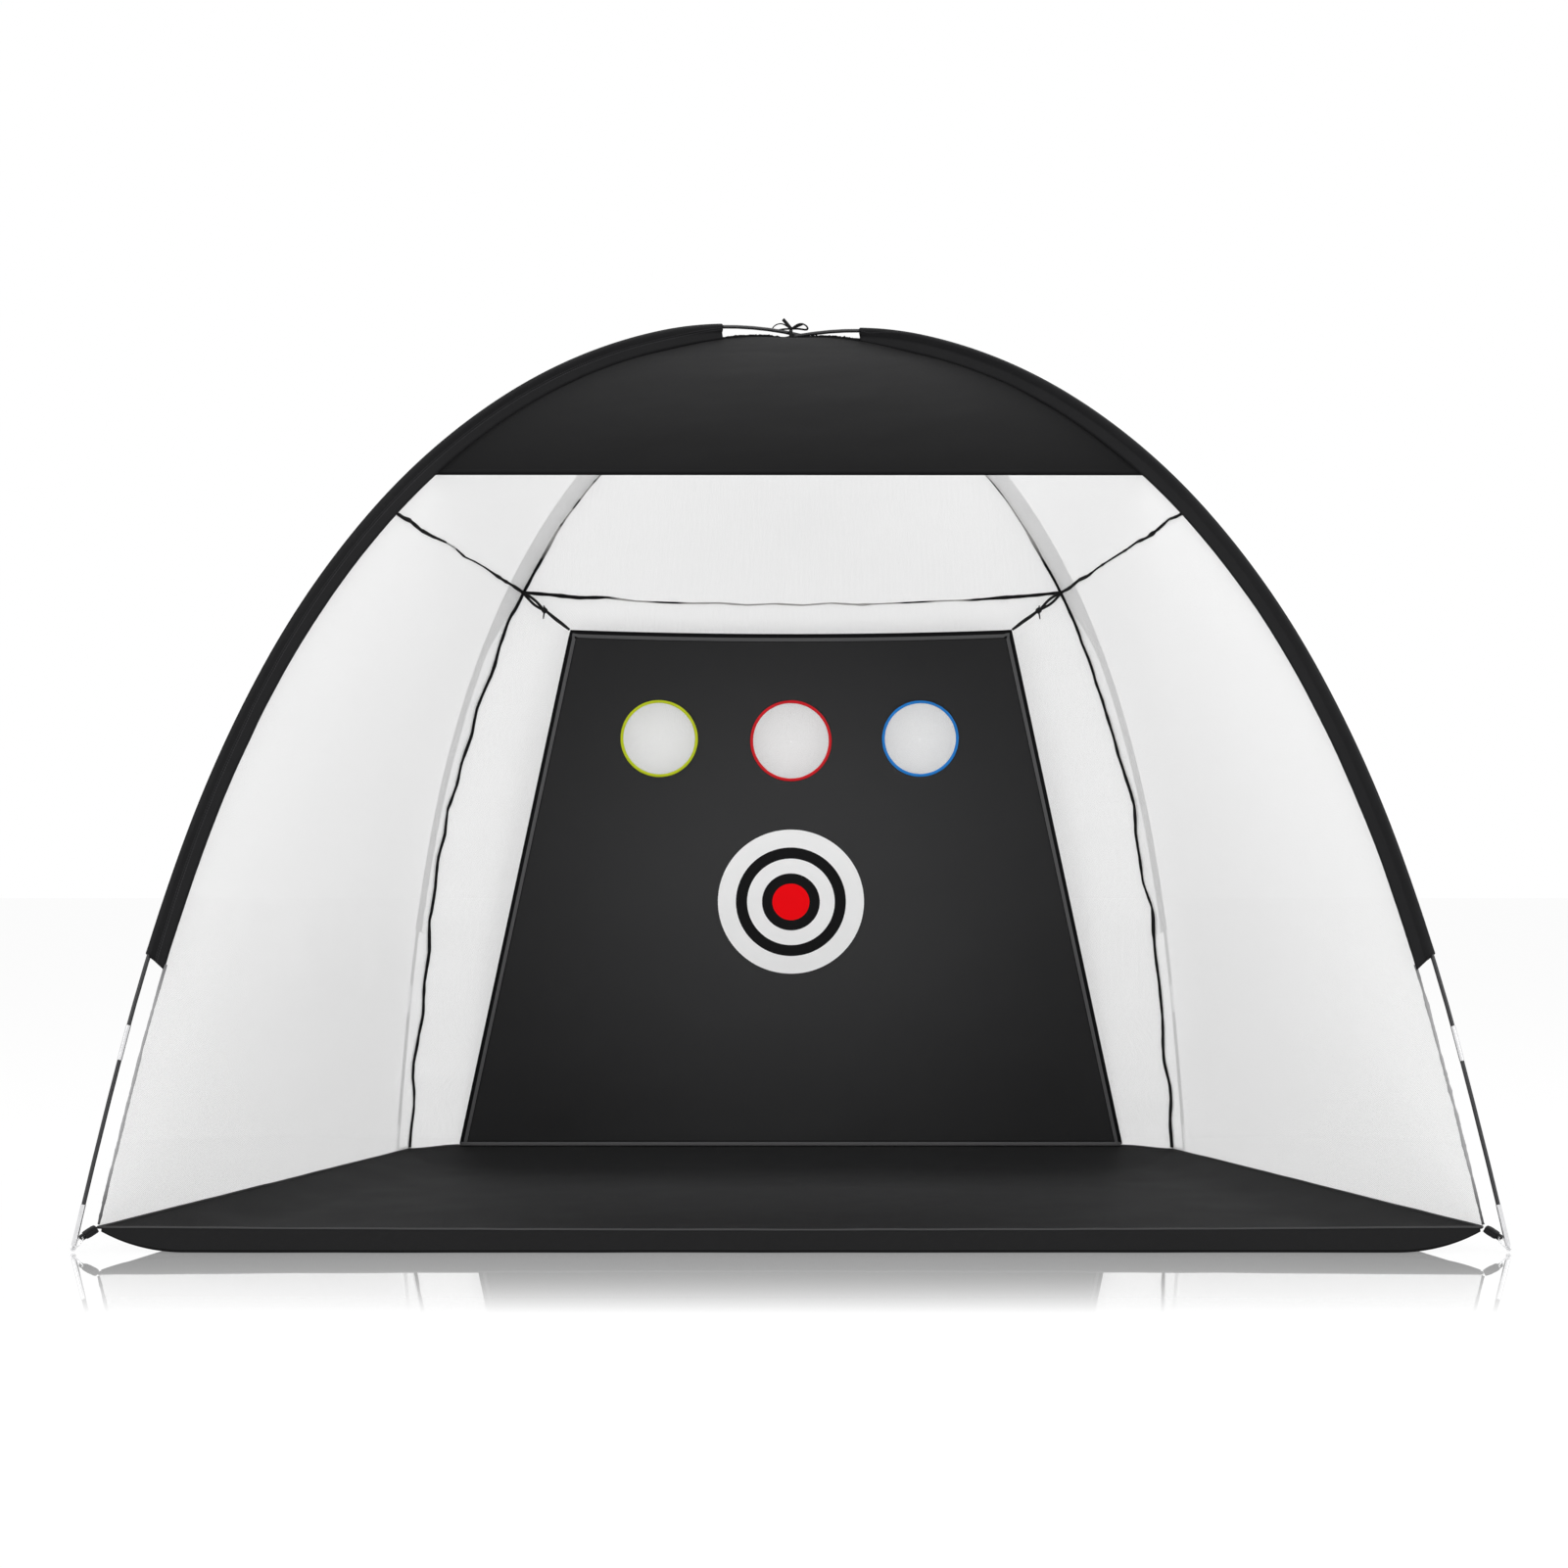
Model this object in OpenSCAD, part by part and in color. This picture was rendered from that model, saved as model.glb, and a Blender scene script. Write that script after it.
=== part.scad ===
// Golf chipping net: two crossed, sprung fibreglass poles hold a mesh shelter with a ground
// sheet, a header and a hanging target cloth. Millimetres, +Z up, the open front faces -Y,
// and the origin is the centre of the footprint on the ground.
//
// Each pole stands in its own vertical plane, from a front foot to the opposite rear foot. It is
// a chain of equal rod sections, each bent to an even curve. The slope at the joints grows from
// level near the crossing to a lean at the foot, as a bent rod's does: lean * sin(90 * u ^ bend).

/* [Overall] */
// Distance between the two front pole feet
front_w = 2000; // [1700:10:2200]
// Distance between the two rear pole feet
rear_w = 1432; // [1300:4:1600]
// Distance from the front feet to the rear feet
depth = 1000; // [900:10:1100]
// Height of the upper pole's centre line where the poles cross
top_z = 1410; // [1350:5:1500]
// Height of the pole feet's lower ends above the ground
foot_z = 8; // [8:0.5:14]

/* [Poles] */
// Outer diameter of the fibreglass rod sections
rod_d = 6; // [5:0.25:7]
// Diameter of the bore through the rod sections
rod_bore_d = 2.8; // [2.6:0.1:3.6]
// Diameter of the elastic shock cord in the bore
shock_cord_d = 2; // [1.6:0.1:2.2]
// Number of rod sections in one pole
rod_count = 13; // [13:1:14]
// Gap between the ends of two sections
rod_gap = 0.4; // [0.3:0.1:1]
// Length of the steel ferrules over the rod joints
ferrule_len = 50; // [36:1:60]
// Wall of the ferrules and of the end tips
ferrule_wall = 0.5; // [0.4:0.1:0.8]
// Radial play of a rod in a ferrule or an end tip
socket_play = 0.1; // [0.1:0.02:0.2]
// Clear space between the two poles where they cross
cross_play = 0.6; // [0.4:0.1:2]
// Share of a pole's length, from its front foot, at which it is level
level_share = 0.525; // [0.52:0.001:0.53]
// Bend exponent of the front half poles: a smaller one bends more near the crossing
front_bend = 0.925; // [0.89:0.005:0.97]
// Bend exponent of the rear half poles
rear_bend = 0.81; // [0.78:0.01:0.86]
// Length of the metal end tips
tip_len = 58; // [50:1:80]
// Depth to which the last rod section sits in its end tip
tip_socket = 26; // [20:1:30]

/* [Sleeves] */
// Radial play of a pole in its fabric sleeve
sleeve_play = 1.6; // [1.4:0.1:2.4]
// Thickness of the sleeve fabric
sleeve_t = 0.9; // [0.6:0.1:1.2]
// Distance from a pole's centre line to the seam that the sleeves and nets are sewn along
seam_off = 27; // [24:0.5:34]
// Length of pole that is left bare on each side of the crossing
bare_top = 131; // [120:1:170]
// Height at which the front sleeves end, above the ground
sleeve_low_front = 405; // [370:5:460]
// Height at which the rear sleeves end, above the ground
sleeve_low_rear = 415; // [370:5:460]

/* [Nets and seams] */
// Thickness of the mesh panels
net_t = 1.2; // [0.8:0.1:1.6]
// Radius of the rolled seams between the panels
seam_r = 1.5; // [1.2:0.1:2]
// Gap between a sewn edge and the seam that it is sewn to
sewn_gap = 0.3; // [0.25:0.05:0.4]
// Height of the ring seam at the front sleeves
ring_front_z = 1064; // [1000:2:1090]
// Height of the ring seam at the rear sleeves
ring_rear_z = 1016; // [960:2:1040]
// Sag of the ring seam across the back
ring_sag = 22; // [10:1:34]
// Height of the header's straight lower hem at the front sleeves
header_z = 1127; // [1110:1:1170]
// Thickness of the header and ground sheet cloth
cloth_t = 1.2; // [0.8:0.1:1.6]

/* [Ground sheet] */
// Height of the front corners of the ground sheet
corner_front_z = 31; // [28:0.5:40]
// Height of the rear corners of the ground sheet
corner_rear_z = 22; // [21:0.5:30]
// Sag of the piped front edge
front_edge_sag = 4; // [0:0.5:6]
// Lift of the piped rear edge under the target
rear_edge_lift = 13; // [6:0.5:18]
// Width of the border that slopes from the piped edge down to the ground
border_w = 130; // [90:5:180]
// Radius of the piping round the ground sheet
piping_r = 2.2; // [1.8:0.1:2.6]
// Distance by which the front skirt's lower hem stands in front of the piping
skirt_out = 34; // [20:1:44]
// Length over which the skirt's lower hem falls from the corner to the ground
skirt_run = 130; // [90:5:200]

/* [Target] */
// Width of the target cloth along its foot
target_foot_w = 1200; // [1120:10:1240]
// Width of the target cloth along its top
target_top_w = 772; // [730:4:800]
// Drop from the ring seam's corners to the target's top corners
target_drop = 68; // [60:1:110]
// Distance from the target's top edge to the rear net behind it
target_clear = 40; // [34:1:60]
// Sag of the target's top edge
target_sag = 7; // [2:0.5:10]
// Thickness of the target cloth
target_t = 1.5; // [1:0.1:2]
// Width of the binding tape round the target's edge
binding_w = 11; // [8:0.5:16]
// Thickness of one layer of binding tape
binding_t = 0.9; // [0.6:0.1:1.2]
// Diameter of the left hole
hole_left_d = 128; // [110:1:140]
// Diameter of the middle hole
hole_mid_d = 135; // [110:1:146]
// Diameter of the right hole
hole_right_d = 127; // [110:1:140]
// Distance from the middle hole to each outer hole
hole_pitch = 228; // [200:1:250]
// Distance from the target's foot up to the middle hole's centre
hole_up = 727; // [660:1:750]
// Width of the coloured rims round the holes
rim_w = 7; // [5:0.5:10]
// Depth of the ball pockets behind the holes
pocket_depth = 24; // [16:1:26]
// Thickness of the pocket mesh
pocket_t = 1; // [0.8:0.1:1.4]

/* [Corners] */
// Diameter of the steel wire of the corner rings and ring pins
wire_d = 2.2; // [1.8:0.1:2.6]
// Mean radius of the corner rings
ring_r = 10.5; // [9.5:0.5:12]
// Steepness of the corner rings
ring_tilt = 48; // [40:1:52]
// Running play between ring, pin eye and webbing
ring_play = 0.4; // [0.35:0.05:0.6]
// Diameter of the shank of the ring pins
pin_d = 2.8; // [2.4:0.1:3]
// Length of the ring pins' shanks inside the end tips
pin_len = 26; // [20:1:28]
// Width of the corner webbing
webbing_w = 12; // [10:0.5:13]
// Thickness of one layer of webbing
webbing_t = 1.3; // [1:0.1:1.6]

/* [Ties] */
// Width of the ribbon that ties the crossing
ribbon_w = 6; // [4:0.5:8]
// Thickness of the ribbons
ribbon_t = 1; // [0.8:0.1:1.4]
// Radius of the elastic straps that hold the target's top corners
strap_r = 2; // [1.5:0.1:2.6]
// Radius of the knots in the elastic straps
knot_r = 5.5; // [4.5:0.5:7]

/* [Hidden] */
SIDES = ["left", "right"];
CORNERS = ["front_left", "front_right", "rear_left", "rear_right"];
POLES = ["upper_pole", "lower_pole"];

ROUND = 32;
ARC_FN = 256;
BLACK = "#1c1c1e";
STEEL = "silver";
MESH = [0.93, 0.93, 0.93, 0.55];
GREY = "#4b4b4d";

// ---- small vector helpers -----------------------------------------------------------------
function unit(v) = v / norm(v);
function mix(a, b, t) = a + (b - a) * t;
function smooth(t) = let (c = min(1, max(0, t))) c * c * (3 - 2 * c);
function bump(t) = 4 * t * (1 - t);

// ---- the bent poles -------------------------------------------------------------------------
// Slope at joint k of a pole, for its leans at the front and the rear foot
function joint_slope(leans, k) = k < level_at
  ? leans[0] * sin(90 * pow(1 - k / level_at, front_bend))
  : -leans[1] * sin(90 * pow((k - level_at) / (rod_count - level_at), rear_bend));
// Run and rise of an evenly bent rod of unit length, from slope a to slope b
function bow(a, b) =
  let (turn = (a - b) / 2, mean = (a + b) / 2)
  [cos(mean), sin(mean)] * (turn == 0 ? 1 : sin(turn) / (turn * PI / 180));
// Places of the joints, for sections of unit length
function joints(leans, k = 0, at = [0, 0]) = k == rod_count ? [at] :
  concat([at], joints(leans, k + 1, at + bow(joint_slope(leans, k), joint_slope(leans, k + 1))));
// Slope and place at s sections from the front foot
function slope_at(leans, s) =
  let (k = min(rod_count - 1, floor(s))) mix(joint_slope(leans, k), joint_slope(leans, k + 1), s - k);
function place_at(leans, at, s) =
  let (k = min(rod_count - 1, floor(s))) at[k] + bow(joint_slope(leans, k), slope_at(leans, s)) * (s - k);
// The distance at which a pole has the given run
function find_run(leans, at, run, low = 0, high = rod_count, left = 24) =
  let (mid = (low + high) / 2)
  left == 0 ? mid : place_at(leans, at, mid).x < run
  ? find_run(leans, at, run, mid, high, left - 1) : find_run(leans, at, run, low, mid, left - 1);
// The rear lean at which both feet stand at one height
function rear_lean(front, low = 60, high = 110, left = 24) =
  let (mid = (low + high) / 2)
  left == 0 ? mid : joints([front, mid])[rod_count].y > 0
  ? rear_lean(front, mid, high, left - 1) : rear_lean(front, low, mid, left - 1);
// The front lean at which the pole's height over its crossing has the given share of its run
function front_lean(share, low = 60, high = 100, left = 24) =
  let (mid = (low + high) / 2, leans = [mid, rear_lean(mid)], at = joints(leans), end = at[rod_count].x,
       top = place_at(leans, at, find_run(leans, at, end * front_share)).y)
  left == 0 ? mid : top / end < share
  ? front_lean(share, mid, high, left - 1) : front_lean(share, low, mid, left - 1);
// A pole is [its leans, joints at unit length, length of a section, distance to its crossing]
function bent_pole(high) =
  let (front = front_lean((high - foot_z) / plan_len), leans = [front, rear_lean(front)], at = joints(leans),
       section = plan_len / at[rod_count].x)
  [leans, at, section, find_run(leans, at, at[rod_count].x * front_share) * section];

plan_len = norm([(front_w + rear_w) / 2, depth]);
front_share = front_w / (front_w + rear_w);
front_run = plan_len * front_share;
rear_run = plan_len - front_run;
away_front = [-front_w / 2, -depth * front_share] / front_run;
away_rear = [rear_w / 2, depth * (1 - front_share)] / rear_run;
low_top_z = top_z - rod_d - cross_play;
level_at = rod_count * level_share;
UPPER = bent_pole(top_z);
LOWER = bent_pole(low_top_z);
function pole_len(pole) = rod_count * pole[2];
function climb(pole, s) = slope_at(pole[0], s / pole[2]);
function in_plane(pole, s) = place_at(pole[0], pole[1], s / pole[2]) * pole[2] + [-front_run, foot_z];

// A half pole is [its lean, its length, its plan direction, its height at the crossing, its pole]
function front_half(pole, dir, high) = [pole[0][0], pole[3], dir, high, pole];
function rear_half(pole, dir, high) = [pole[0][1], pole_len(pole) - pole[3], dir, high, pole];
FL = front_half(UPPER, away_front, top_z);
RR = rear_half(UPPER, away_rear, top_z);
FR = front_half(LOWER, [-away_front.x, away_front.y], low_top_z);
RL = rear_half(LOWER, [-away_rear.x, away_rear.y], low_top_z);
HALVES = [FL, FR, RL, RR];

// Slope, place and inward direction on a half pole, at a share u of its length from the crossing
function is_front(h) = h[2].y < 0;
function along(h, u) = h[4][3] + (is_front(h) ? -u : u) * h[1];
function slope(h, u) = (is_front(h) ? 1 : -1) * climb(h[4], along(h, u));
function inward(h, u) = let (a = slope(h, u)) [-h[2].x * sin(a), -h[2].y * sin(a), -cos(a)];
function sideways(h) = [-h[2].y, h[2].x, 0];
function from_cross(h, u) =
  let (p = in_plane(h[4], along(h, u)), run = abs(p.x)) [h[2].x * run, h[2].y * run, p.y];

// The middle of the footprint, between the skirt's hem and the rear feet, is y = 0
rear_most = max([for (u = [0.7:0.02:1]) from_cross(RR, u).y]) + rod_d / 2;
front_most = -depth * front_share + corner_in_y_front() - skirt_out - cloth_t;
cross_y = -(rear_most + front_most) / 2;
function corner_in_y_front() = seam_off * abs(away_front.y) * sin(FL[0]);
function on_pole(h, u) = from_cross(h, u) + [0, cross_y, 0];

// The u at which something falls with height: the pole itself, or its seam line
function find_u(h, z, off, low = 0, high = 1, left = 22) =
  let (mid = (low + high) / 2, at = on_pole(h, mid).z - off * cos(slope(h, mid)))
  left == 0 ? mid : at > z
  ? find_u(h, z, off, mid, high, left - 1) : find_u(h, z, off, low, mid, left - 1);

// The seam line runs seam_off inside the pole, and closes up to the poles at the crossing
crown_z = low_top_z - rod_d / 2 - seam_r - cross_play;
top_close = 250;
seam_end = (ribbon_w / 2 + sewn_gap + seam_r) / abs(away_front.x);
crown_gap = seam_end + 7;
function seam_gap(h, u) = mix(h[3] - crown_z, seam_off, smooth(u * h[1] / top_close));
function on_seam(h, u) = on_pole(h, u) + seam_gap(h, u) * inward(h, u);

u_top = [for (h = HALVES) bare_top / h[1]];
u_corner = [find_u(FL, corner_front_z, seam_off), find_u(FR, corner_front_z, seam_off),
            find_u(RL, corner_rear_z, seam_off), find_u(RR, corner_rear_z, seam_off)];
u_ring = [find_u(FL, ring_front_z, seam_off), find_u(FR, ring_front_z, seam_off),
          find_u(RL, ring_rear_z, seam_off), find_u(RR, ring_rear_z, seam_off)];
u_low = [find_u(FL, sleeve_low_front, 0), find_u(FR, sleeve_low_front, 0),
         find_u(RL, sleeve_low_rear, 0), find_u(RR, sleeve_low_rear, 0)];
corner = [for (i = [0:3]) on_seam(HALVES[i], u_corner[i])];

// ---- skins ----------------------------------------------------------------------------------
// Side faces between rings of n points each
function band(n, rings, from = 0, turned = false) =
  [for (i = [0:rings - 2], j = [0:n - 1]) let (a = from + i * n + j, b = from + i * n + (j + 1) % n)
    each (turned ? [[a, b + n, b], [a, a + n, b + n]] : [[a, b, b + n], [a, b + n, a + n]])];

// A solid rod or strap over rings of points
module skin(rings) {
  n = len(rings[0]);
  last = (len(rings) - 1) * n;
  ends = [for (j = [1:n - 2]) each [[0, j + 1, j], [last, last + j, last + j + 1]]];
  polyhedron(points = [for (r = rings) each r], faces = concat(band(n, len(rings)), ends));
}

// A closed loop of rings
module hoop(rings) {
  n = len(rings[0]);
  all = n * len(rings);
  faces = [for (f = band(n, len(rings) + 1)) [f[0] % all, f[1] % all, f[2] % all]];
  polyhedron(points = [for (r = rings) each r], faces = faces);
}

// A pipe: outer rings and inner rings of n points each
module pipe(outer, inner) {
  n = len(outer[0]);
  m = len(outer);
  k = n * m;
  e = (m - 1) * n;
  ends = [for (j = [0:n - 1]) let (q = (j + 1) % n) each [
    [j, k + q, q], [j, k + j, k + q], [e + j, e + q, k + e + q], [e + j, k + e + q, k + e + j]]];
  points = concat([for (r = outer) each r], [for (r = inner) each r]);
  polyhedron(points = points, faces = concat(band(n, m), band(n, m, k, true), ends));
}

// Points round a path's point, in the plane of two unit vectors
function ring_at(p, a, b, ra, rb, n) =
  [for (j = [0:n - 1]) let (t = 360 * (j + 0.5) / n) p + a * ra * cos(t) + b * rb * sin(t)];
function path_dir(path, i) = unit(path[min(len(path) - 1, i + 1)] - path[max(0, i - 1)]);

// A round rope of radius r, or of one radius per point; up is a direction that the path never takes
module rope(path, r, n = 6, up = [0, 0, 1]) skin([for (i = [0:len(path) - 1])
  let (t = path_dir(path, i), a = unit(cross(t, up)), b = cross(t, a), ri = is_list(r) ? r[i] : r)
  ring_at(path[i], b, a, ri, ri, n)]);

// A flat ribbon whose width lies along the direction `across`
function flat_ring(p, d, across, w, t) =
  let (a = across * w / 2, b = unit(cross(d, across)) * t / 2) [p + a + b, p + a - b, p - a - b, p - a + b];
module ribbon(path, w, t, across) skin([for (i = [0:len(path) - 1])
  flat_ring(path[i], path_dir(path, i), across, w, t)]);

// A sheet of cloth of thickness t over a grid of points
function grid_normal(g, i, j) =
  let (m = len(g) - 1, n = len(g[0]) - 1)
  unit(cross(g[min(m, i + 1)][j] - g[max(0, i - 1)][j], g[i][min(n, j + 1)] - g[i][max(0, j - 1)]));
module sheet(g, t) {
  m = len(g);
  n = len(g[0]);
  k = m * n;
  high = [for (i = [0:m - 1], j = [0:n - 1]) g[i][j] + grid_normal(g, i, j) * t / 2];
  low = [for (i = [0:m - 1], j = [0:n - 1]) g[i][j] - grid_normal(g, i, j) * t / 2];
  both = [for (i = [0:m - 2], j = [0:n - 2]) let (a = i * n + j, b = a + 1, c = a + n, d = c + 1) each [
    [a, b, d], [a, d, c], [k + a, k + d, k + b], [k + a, k + c, k + d]]];
  sides = [for (i = [0:m - 2]) let (a = i * n, b = a + n, c = a + n - 1, d = b + n - 1) each [
    [a, b, k + b], [a, k + b, k + a], [c, k + d, d], [c, k + c, k + d]]];
  ends = [for (j = [0:n - 2]) let (a = (m - 1) * n + j) each [
    [j, k + j + 1, j + 1], [j, k + j, k + j + 1], [a, a + 1, k + a + 1], [a, k + a + 1, k + a]]];
  polyhedron(points = concat(high, low), faces = concat(both, sides, ends));
}

// ---- poles ----------------------------------------------------------------------------------
// A bent round bar between two places along a pole, with an optional bore
plan_turn = atan2(away_rear.y, away_rear.x);
module bent(pole, s0, s1, r, bore = 0) {
  a = in_plane(pole, s0);
  b = in_plane(pole, s1);
  turn = climb(pole, s0) - climb(pole, s1);
  chord = norm(b - a);
  bend_r = chord / (2 * sin(turn / 2));
  chord_dir = (b - a) / chord;
  centre = (a + b) / 2 + [chord_dir.y, -chord_dir.x] * bend_r * cos(turn / 2);
  start = 90 + atan2(chord_dir.y, chord_dir.x) - turn / 2;
  translate([0, cross_y, 0])
    rotate([0, 0, pole == UPPER ? plan_turn : 180 - plan_turn])
    translate([centre.x, 0, centre.y])
    rotate([90, 0, 0])
    rotate([0, 0, start])
    rotate_extrude(angle = turn, $fn = ARC_FN) translate([bend_r, 0]) difference() {
      circle(r, $fn = ROUND);
      if (bore > 0) circle(bore, $fn = ROUND);
    }
}

// The joint between sections i and i + 1, as a distance along the pole
function joint_at(pole, i) = i * pole[2];
front_sections = ceil(level_at);
tip_free = tip_len - tip_socket;

module rods(pole, first, last) color(BLACK)
  for (i = [first:last]) {
    s0 = i == 0 ? tip_free : joint_at(pole, i) + rod_gap / 2;
    s1 = i == rod_count - 1 ? pole_len(pole) - tip_free : joint_at(pole, i + 1) - rod_gap / 2;
    bent(pole, s0, s1, rod_d / 2, rod_bore_d / 2);
  }

module ferrules(pole) color(STEEL)
  for (i = [1:rod_count - 1]) {
    bent(pole, joint_at(pole, i) - ferrule_len / 2, joint_at(pole, i) + ferrule_len / 2,
         rod_d / 2 + socket_play + ferrule_wall, rod_d / 2 + socket_play);
  }

// The shock cord runs through every section, from end tip to end tip
shock_rings = 80;
module shock_cord(pole) color("white") {
  front = pole == UPPER ? FL : FR;
  path = [for (k = [0:shock_rings])
    let (p = in_plane(pole, mix(tip_free + 2, pole_len(pole) - tip_free - 2, k / shock_rings)))
    [-front[2].x * p.x, -front[2].y * p.x + cross_y, p.y]];
  rope(path, shock_cord_d / 2, 6, sideways(front));
}

// ---- feet -----------------------------------------------------------------------------------
// A tip is straight, in line with the bent pole at the middle of its socket
tip_grip = tip_len - tip_socket / 2;
function tip_u(h) = 1 - tip_grip / h[1];
function tip_lean(h) = slope(h, tip_u(h));
function foot_at(h) =
  let (a = tip_lean(h)) on_pole(h, tip_u(h)) + tip_grip * [h[2].x * cos(a), h[2].y * cos(a), -sin(a)];
// A foot's own frame: origin foot_z under the tip's lower end, +X inward, +Z up
module at_foot(h) translate(foot_at(h) - [0, 0, foot_z]) rotate([0, 0, atan2(-h[2].y, -h[2].x)]) children();
// Turns +Z to the tip's direction
module along_tip(h) translate([0, 0, foot_z]) rotate([0, 90 - tip_lean(h), 0]) children();

tip_r = rod_d / 2 + socket_play + ferrule_wall;
module end_tip(h) color(STEEL) at_foot(h) along_tip(h) difference() {
  cylinder(r = tip_r, h = tip_len, $fn = ROUND);
  translate([0, 0, tip_free]) cylinder(r = rod_d / 2 + socket_play, h = tip_socket + 1, $fn = ROUND);
  translate([0, 0, -1]) cylinder(r = pin_d / 2 + socket_play, h = tip_free + 2, $fn = ROUND);
}

// The pin's eye hangs just below the tip, round the wire of the corner ring
eye_r = wire_d + ring_play;
eye_down = eye_r + wire_d / 2 + 0.4;
function eye_x(h) = -eye_down * cos(tip_lean(h));
eye_z = foot_z - eye_down;
module ring_pin(h) color(STEEL) at_foot(h) {
  translate([eye_x(h), 0, eye_z]) rotate([90, 0, 0])
    rotate_extrude($fn = 64) translate([eye_r, 0]) circle(wire_d / 2, $fn = ROUND);
  translate([eye_x(h), 0, eye_z]) rotate([0, 90 - tip_lean(h), 0]) translate([0, 0, eye_r])
    cylinder(r = pin_d / 2, h = eye_down - eye_r + pin_len, $fn = ROUND);
}

ring_out = [cos(ring_tilt), 0, sin(ring_tilt)];
module corner_ring(h) color(STEEL) at_foot(h)
  translate([eye_x(h), 0, eye_z] + ring_out * ring_r)
  rotate([0, -ring_tilt, 0])
  rotate_extrude($fn = 96) translate([ring_r, 0]) circle(wire_d / 2, $fn = ROUND);

// The webbing is folded round the ring and sewn to the ground sheet's corner
module corner_webbing(i) color(BLACK) {
  h = HALVES[i];
  foot = foot_at(h) - [0, 0, foot_z];
  far = [eye_x(h), 0, eye_z] + ring_out * 2 * ring_r;
  inner = [norm([corner[i].x - foot.x, corner[i].y - foot.y]), 0, corner[i].z - foot.z];
  run = inner - far;
  rise = atan2(run.z, run.x);
  arc_back = ring_r - sqrt(ring_r * ring_r - webbing_w * webbing_w / 4);
  hole_r = wire_d / 2 + ring_play + arc_back * sin(abs(ring_tilt - rise));
  back = arc_back;
  strap_end = norm(run) - piping_r - sewn_gap - webbing_t;
  at_foot(h) translate(far) rotate([0, -rise, 0]) rotate([90, 0, 0])
    translate([0, 0, -webbing_w / 2]) linear_extrude(webbing_w) difference() {
      union() {
        translate([-back, 0]) circle(hole_r + webbing_t, $fn = ROUND);
        translate([-back, -hole_r - webbing_t]) square([back + ring_play, 2 * (hole_r + webbing_t)]);
        translate([ring_play, 0]) circle(hole_r + webbing_t, $fn = ROUND);
        translate([0, -webbing_t]) square([strap_end, 2 * webbing_t]);
      }
      translate([-back, 0]) circle(hole_r, $fn = ROUND);
      translate([-back, -hole_r]) square([back + ring_play, 2 * hole_r]);
      translate([ring_play, 0]) circle(hole_r, $fn = ROUND);
    }
}

// ---- sleeves --------------------------------------------------------------------------------
sleeve_in_r = rod_d / 2 + ferrule_wall + socket_play + sleeve_play - 0.6;
sleeve_out_r = sleeve_in_r + sleeve_t;
sleeve_rings = 22;
// Half of the outline from the back of the pole to the sewn inner edge: [inward, sideways]
function sleeve_outline(edge) =
  let (half = concat([for (t = [18, 54, 90]) [-sleeve_out_r * cos(t), sleeve_out_r * sin(t)]],
                     [[sleeve_out_r + 4, sleeve_t * 1.2], [edge, sleeve_t]]))
  concat(half, [for (i = [4:-1:0]) [half[i][0], -half[i][1]]]);
function sleeve_hole() =
  let (half = [for (t = [18:36:162]) [-sleeve_in_r * cos(t), sleeve_in_r * sin(t)]])
  concat(half, [for (i = [4:-1:0]) [half[i][0], -half[i][1]]]);
function lay_ring(h, u, outline) =
  [for (p = outline) on_pole(h, u) + inward(h, u) * p[0] + sideways(h) * p[1]];
module sleeve(i) color(BLACK) {
  h = HALVES[i];
  us = [for (k = [0:sleeve_rings]) mix(u_top[i], u_low[i], k / sleeve_rings)];
  edge_back = seam_r + sewn_gap;
  pipe([for (u = us) lay_ring(h, u, sleeve_outline(seam_gap(h, u) - edge_back))],
       [for (u = us) lay_ring(h, u, sleeve_hole())]);
}

// ---- panels ---------------------------------------------------------------------------------
edge_in = seam_r + sewn_gap + 0.1;
function seam_dir(h, u) = unit(on_seam(h, u + 0.002) - on_seam(h, u - 0.002));
// A row of points at the given shares between two seams, kept clear of both
function row(ha, ua, hb, ub, shares) =
  let (a = on_seam(ha, ua), b = on_seam(hb, ub), d = unit(b - a),
       p = a + d * edge_in / norm(cross(d, seam_dir(ha, ua))),
       q = b - d * edge_in / norm(cross(d, seam_dir(hb, ub))))
  [for (s = shares) mix(p, q, s)];
function even(n) = [for (j = [0:n]) j / n];

// Rows between half poles a and b, from share v0 to share v1 of the stretch between two levels
function panel(ia, ib, low, high, v0, v1, m, shares) = [for (i = [0:m])
  let (v = mix(v0, v1, i / m))
  row(HALVES[ia], mix(low[ia], high[ia], v), HALVES[ib], mix(low[ib], high[ib], v), shares)];

// How far a seam's thickness reaches in v
function v_step(i, low, high, gap) = gap / (HALVES[i][1] * abs(high[i] - low[i]));

u_crown = [for (h = HALVES) crown_gap / h[1]];
v_low = v_step(0, u_corner, u_ring, piping_r + sewn_gap + net_t / 2 + 0.4);
v_ring = v_step(2, u_corner, u_ring, edge_in);
v_ring_up = v_step(2, u_ring, u_crown, edge_in);
net_rows = 9;
net_cols = even(4);
module net_side_lower(ia, ib) color(MESH)
  sheet(panel(ia, ib, u_corner, u_ring, v_low, 1 - v_ring, net_rows, net_cols), net_t);
module net_side_upper(ia, ib) color(MESH)
  sheet(panel(ia, ib, u_ring, u_crown, v_ring_up, 1, net_rows, net_cols), net_t);

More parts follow.
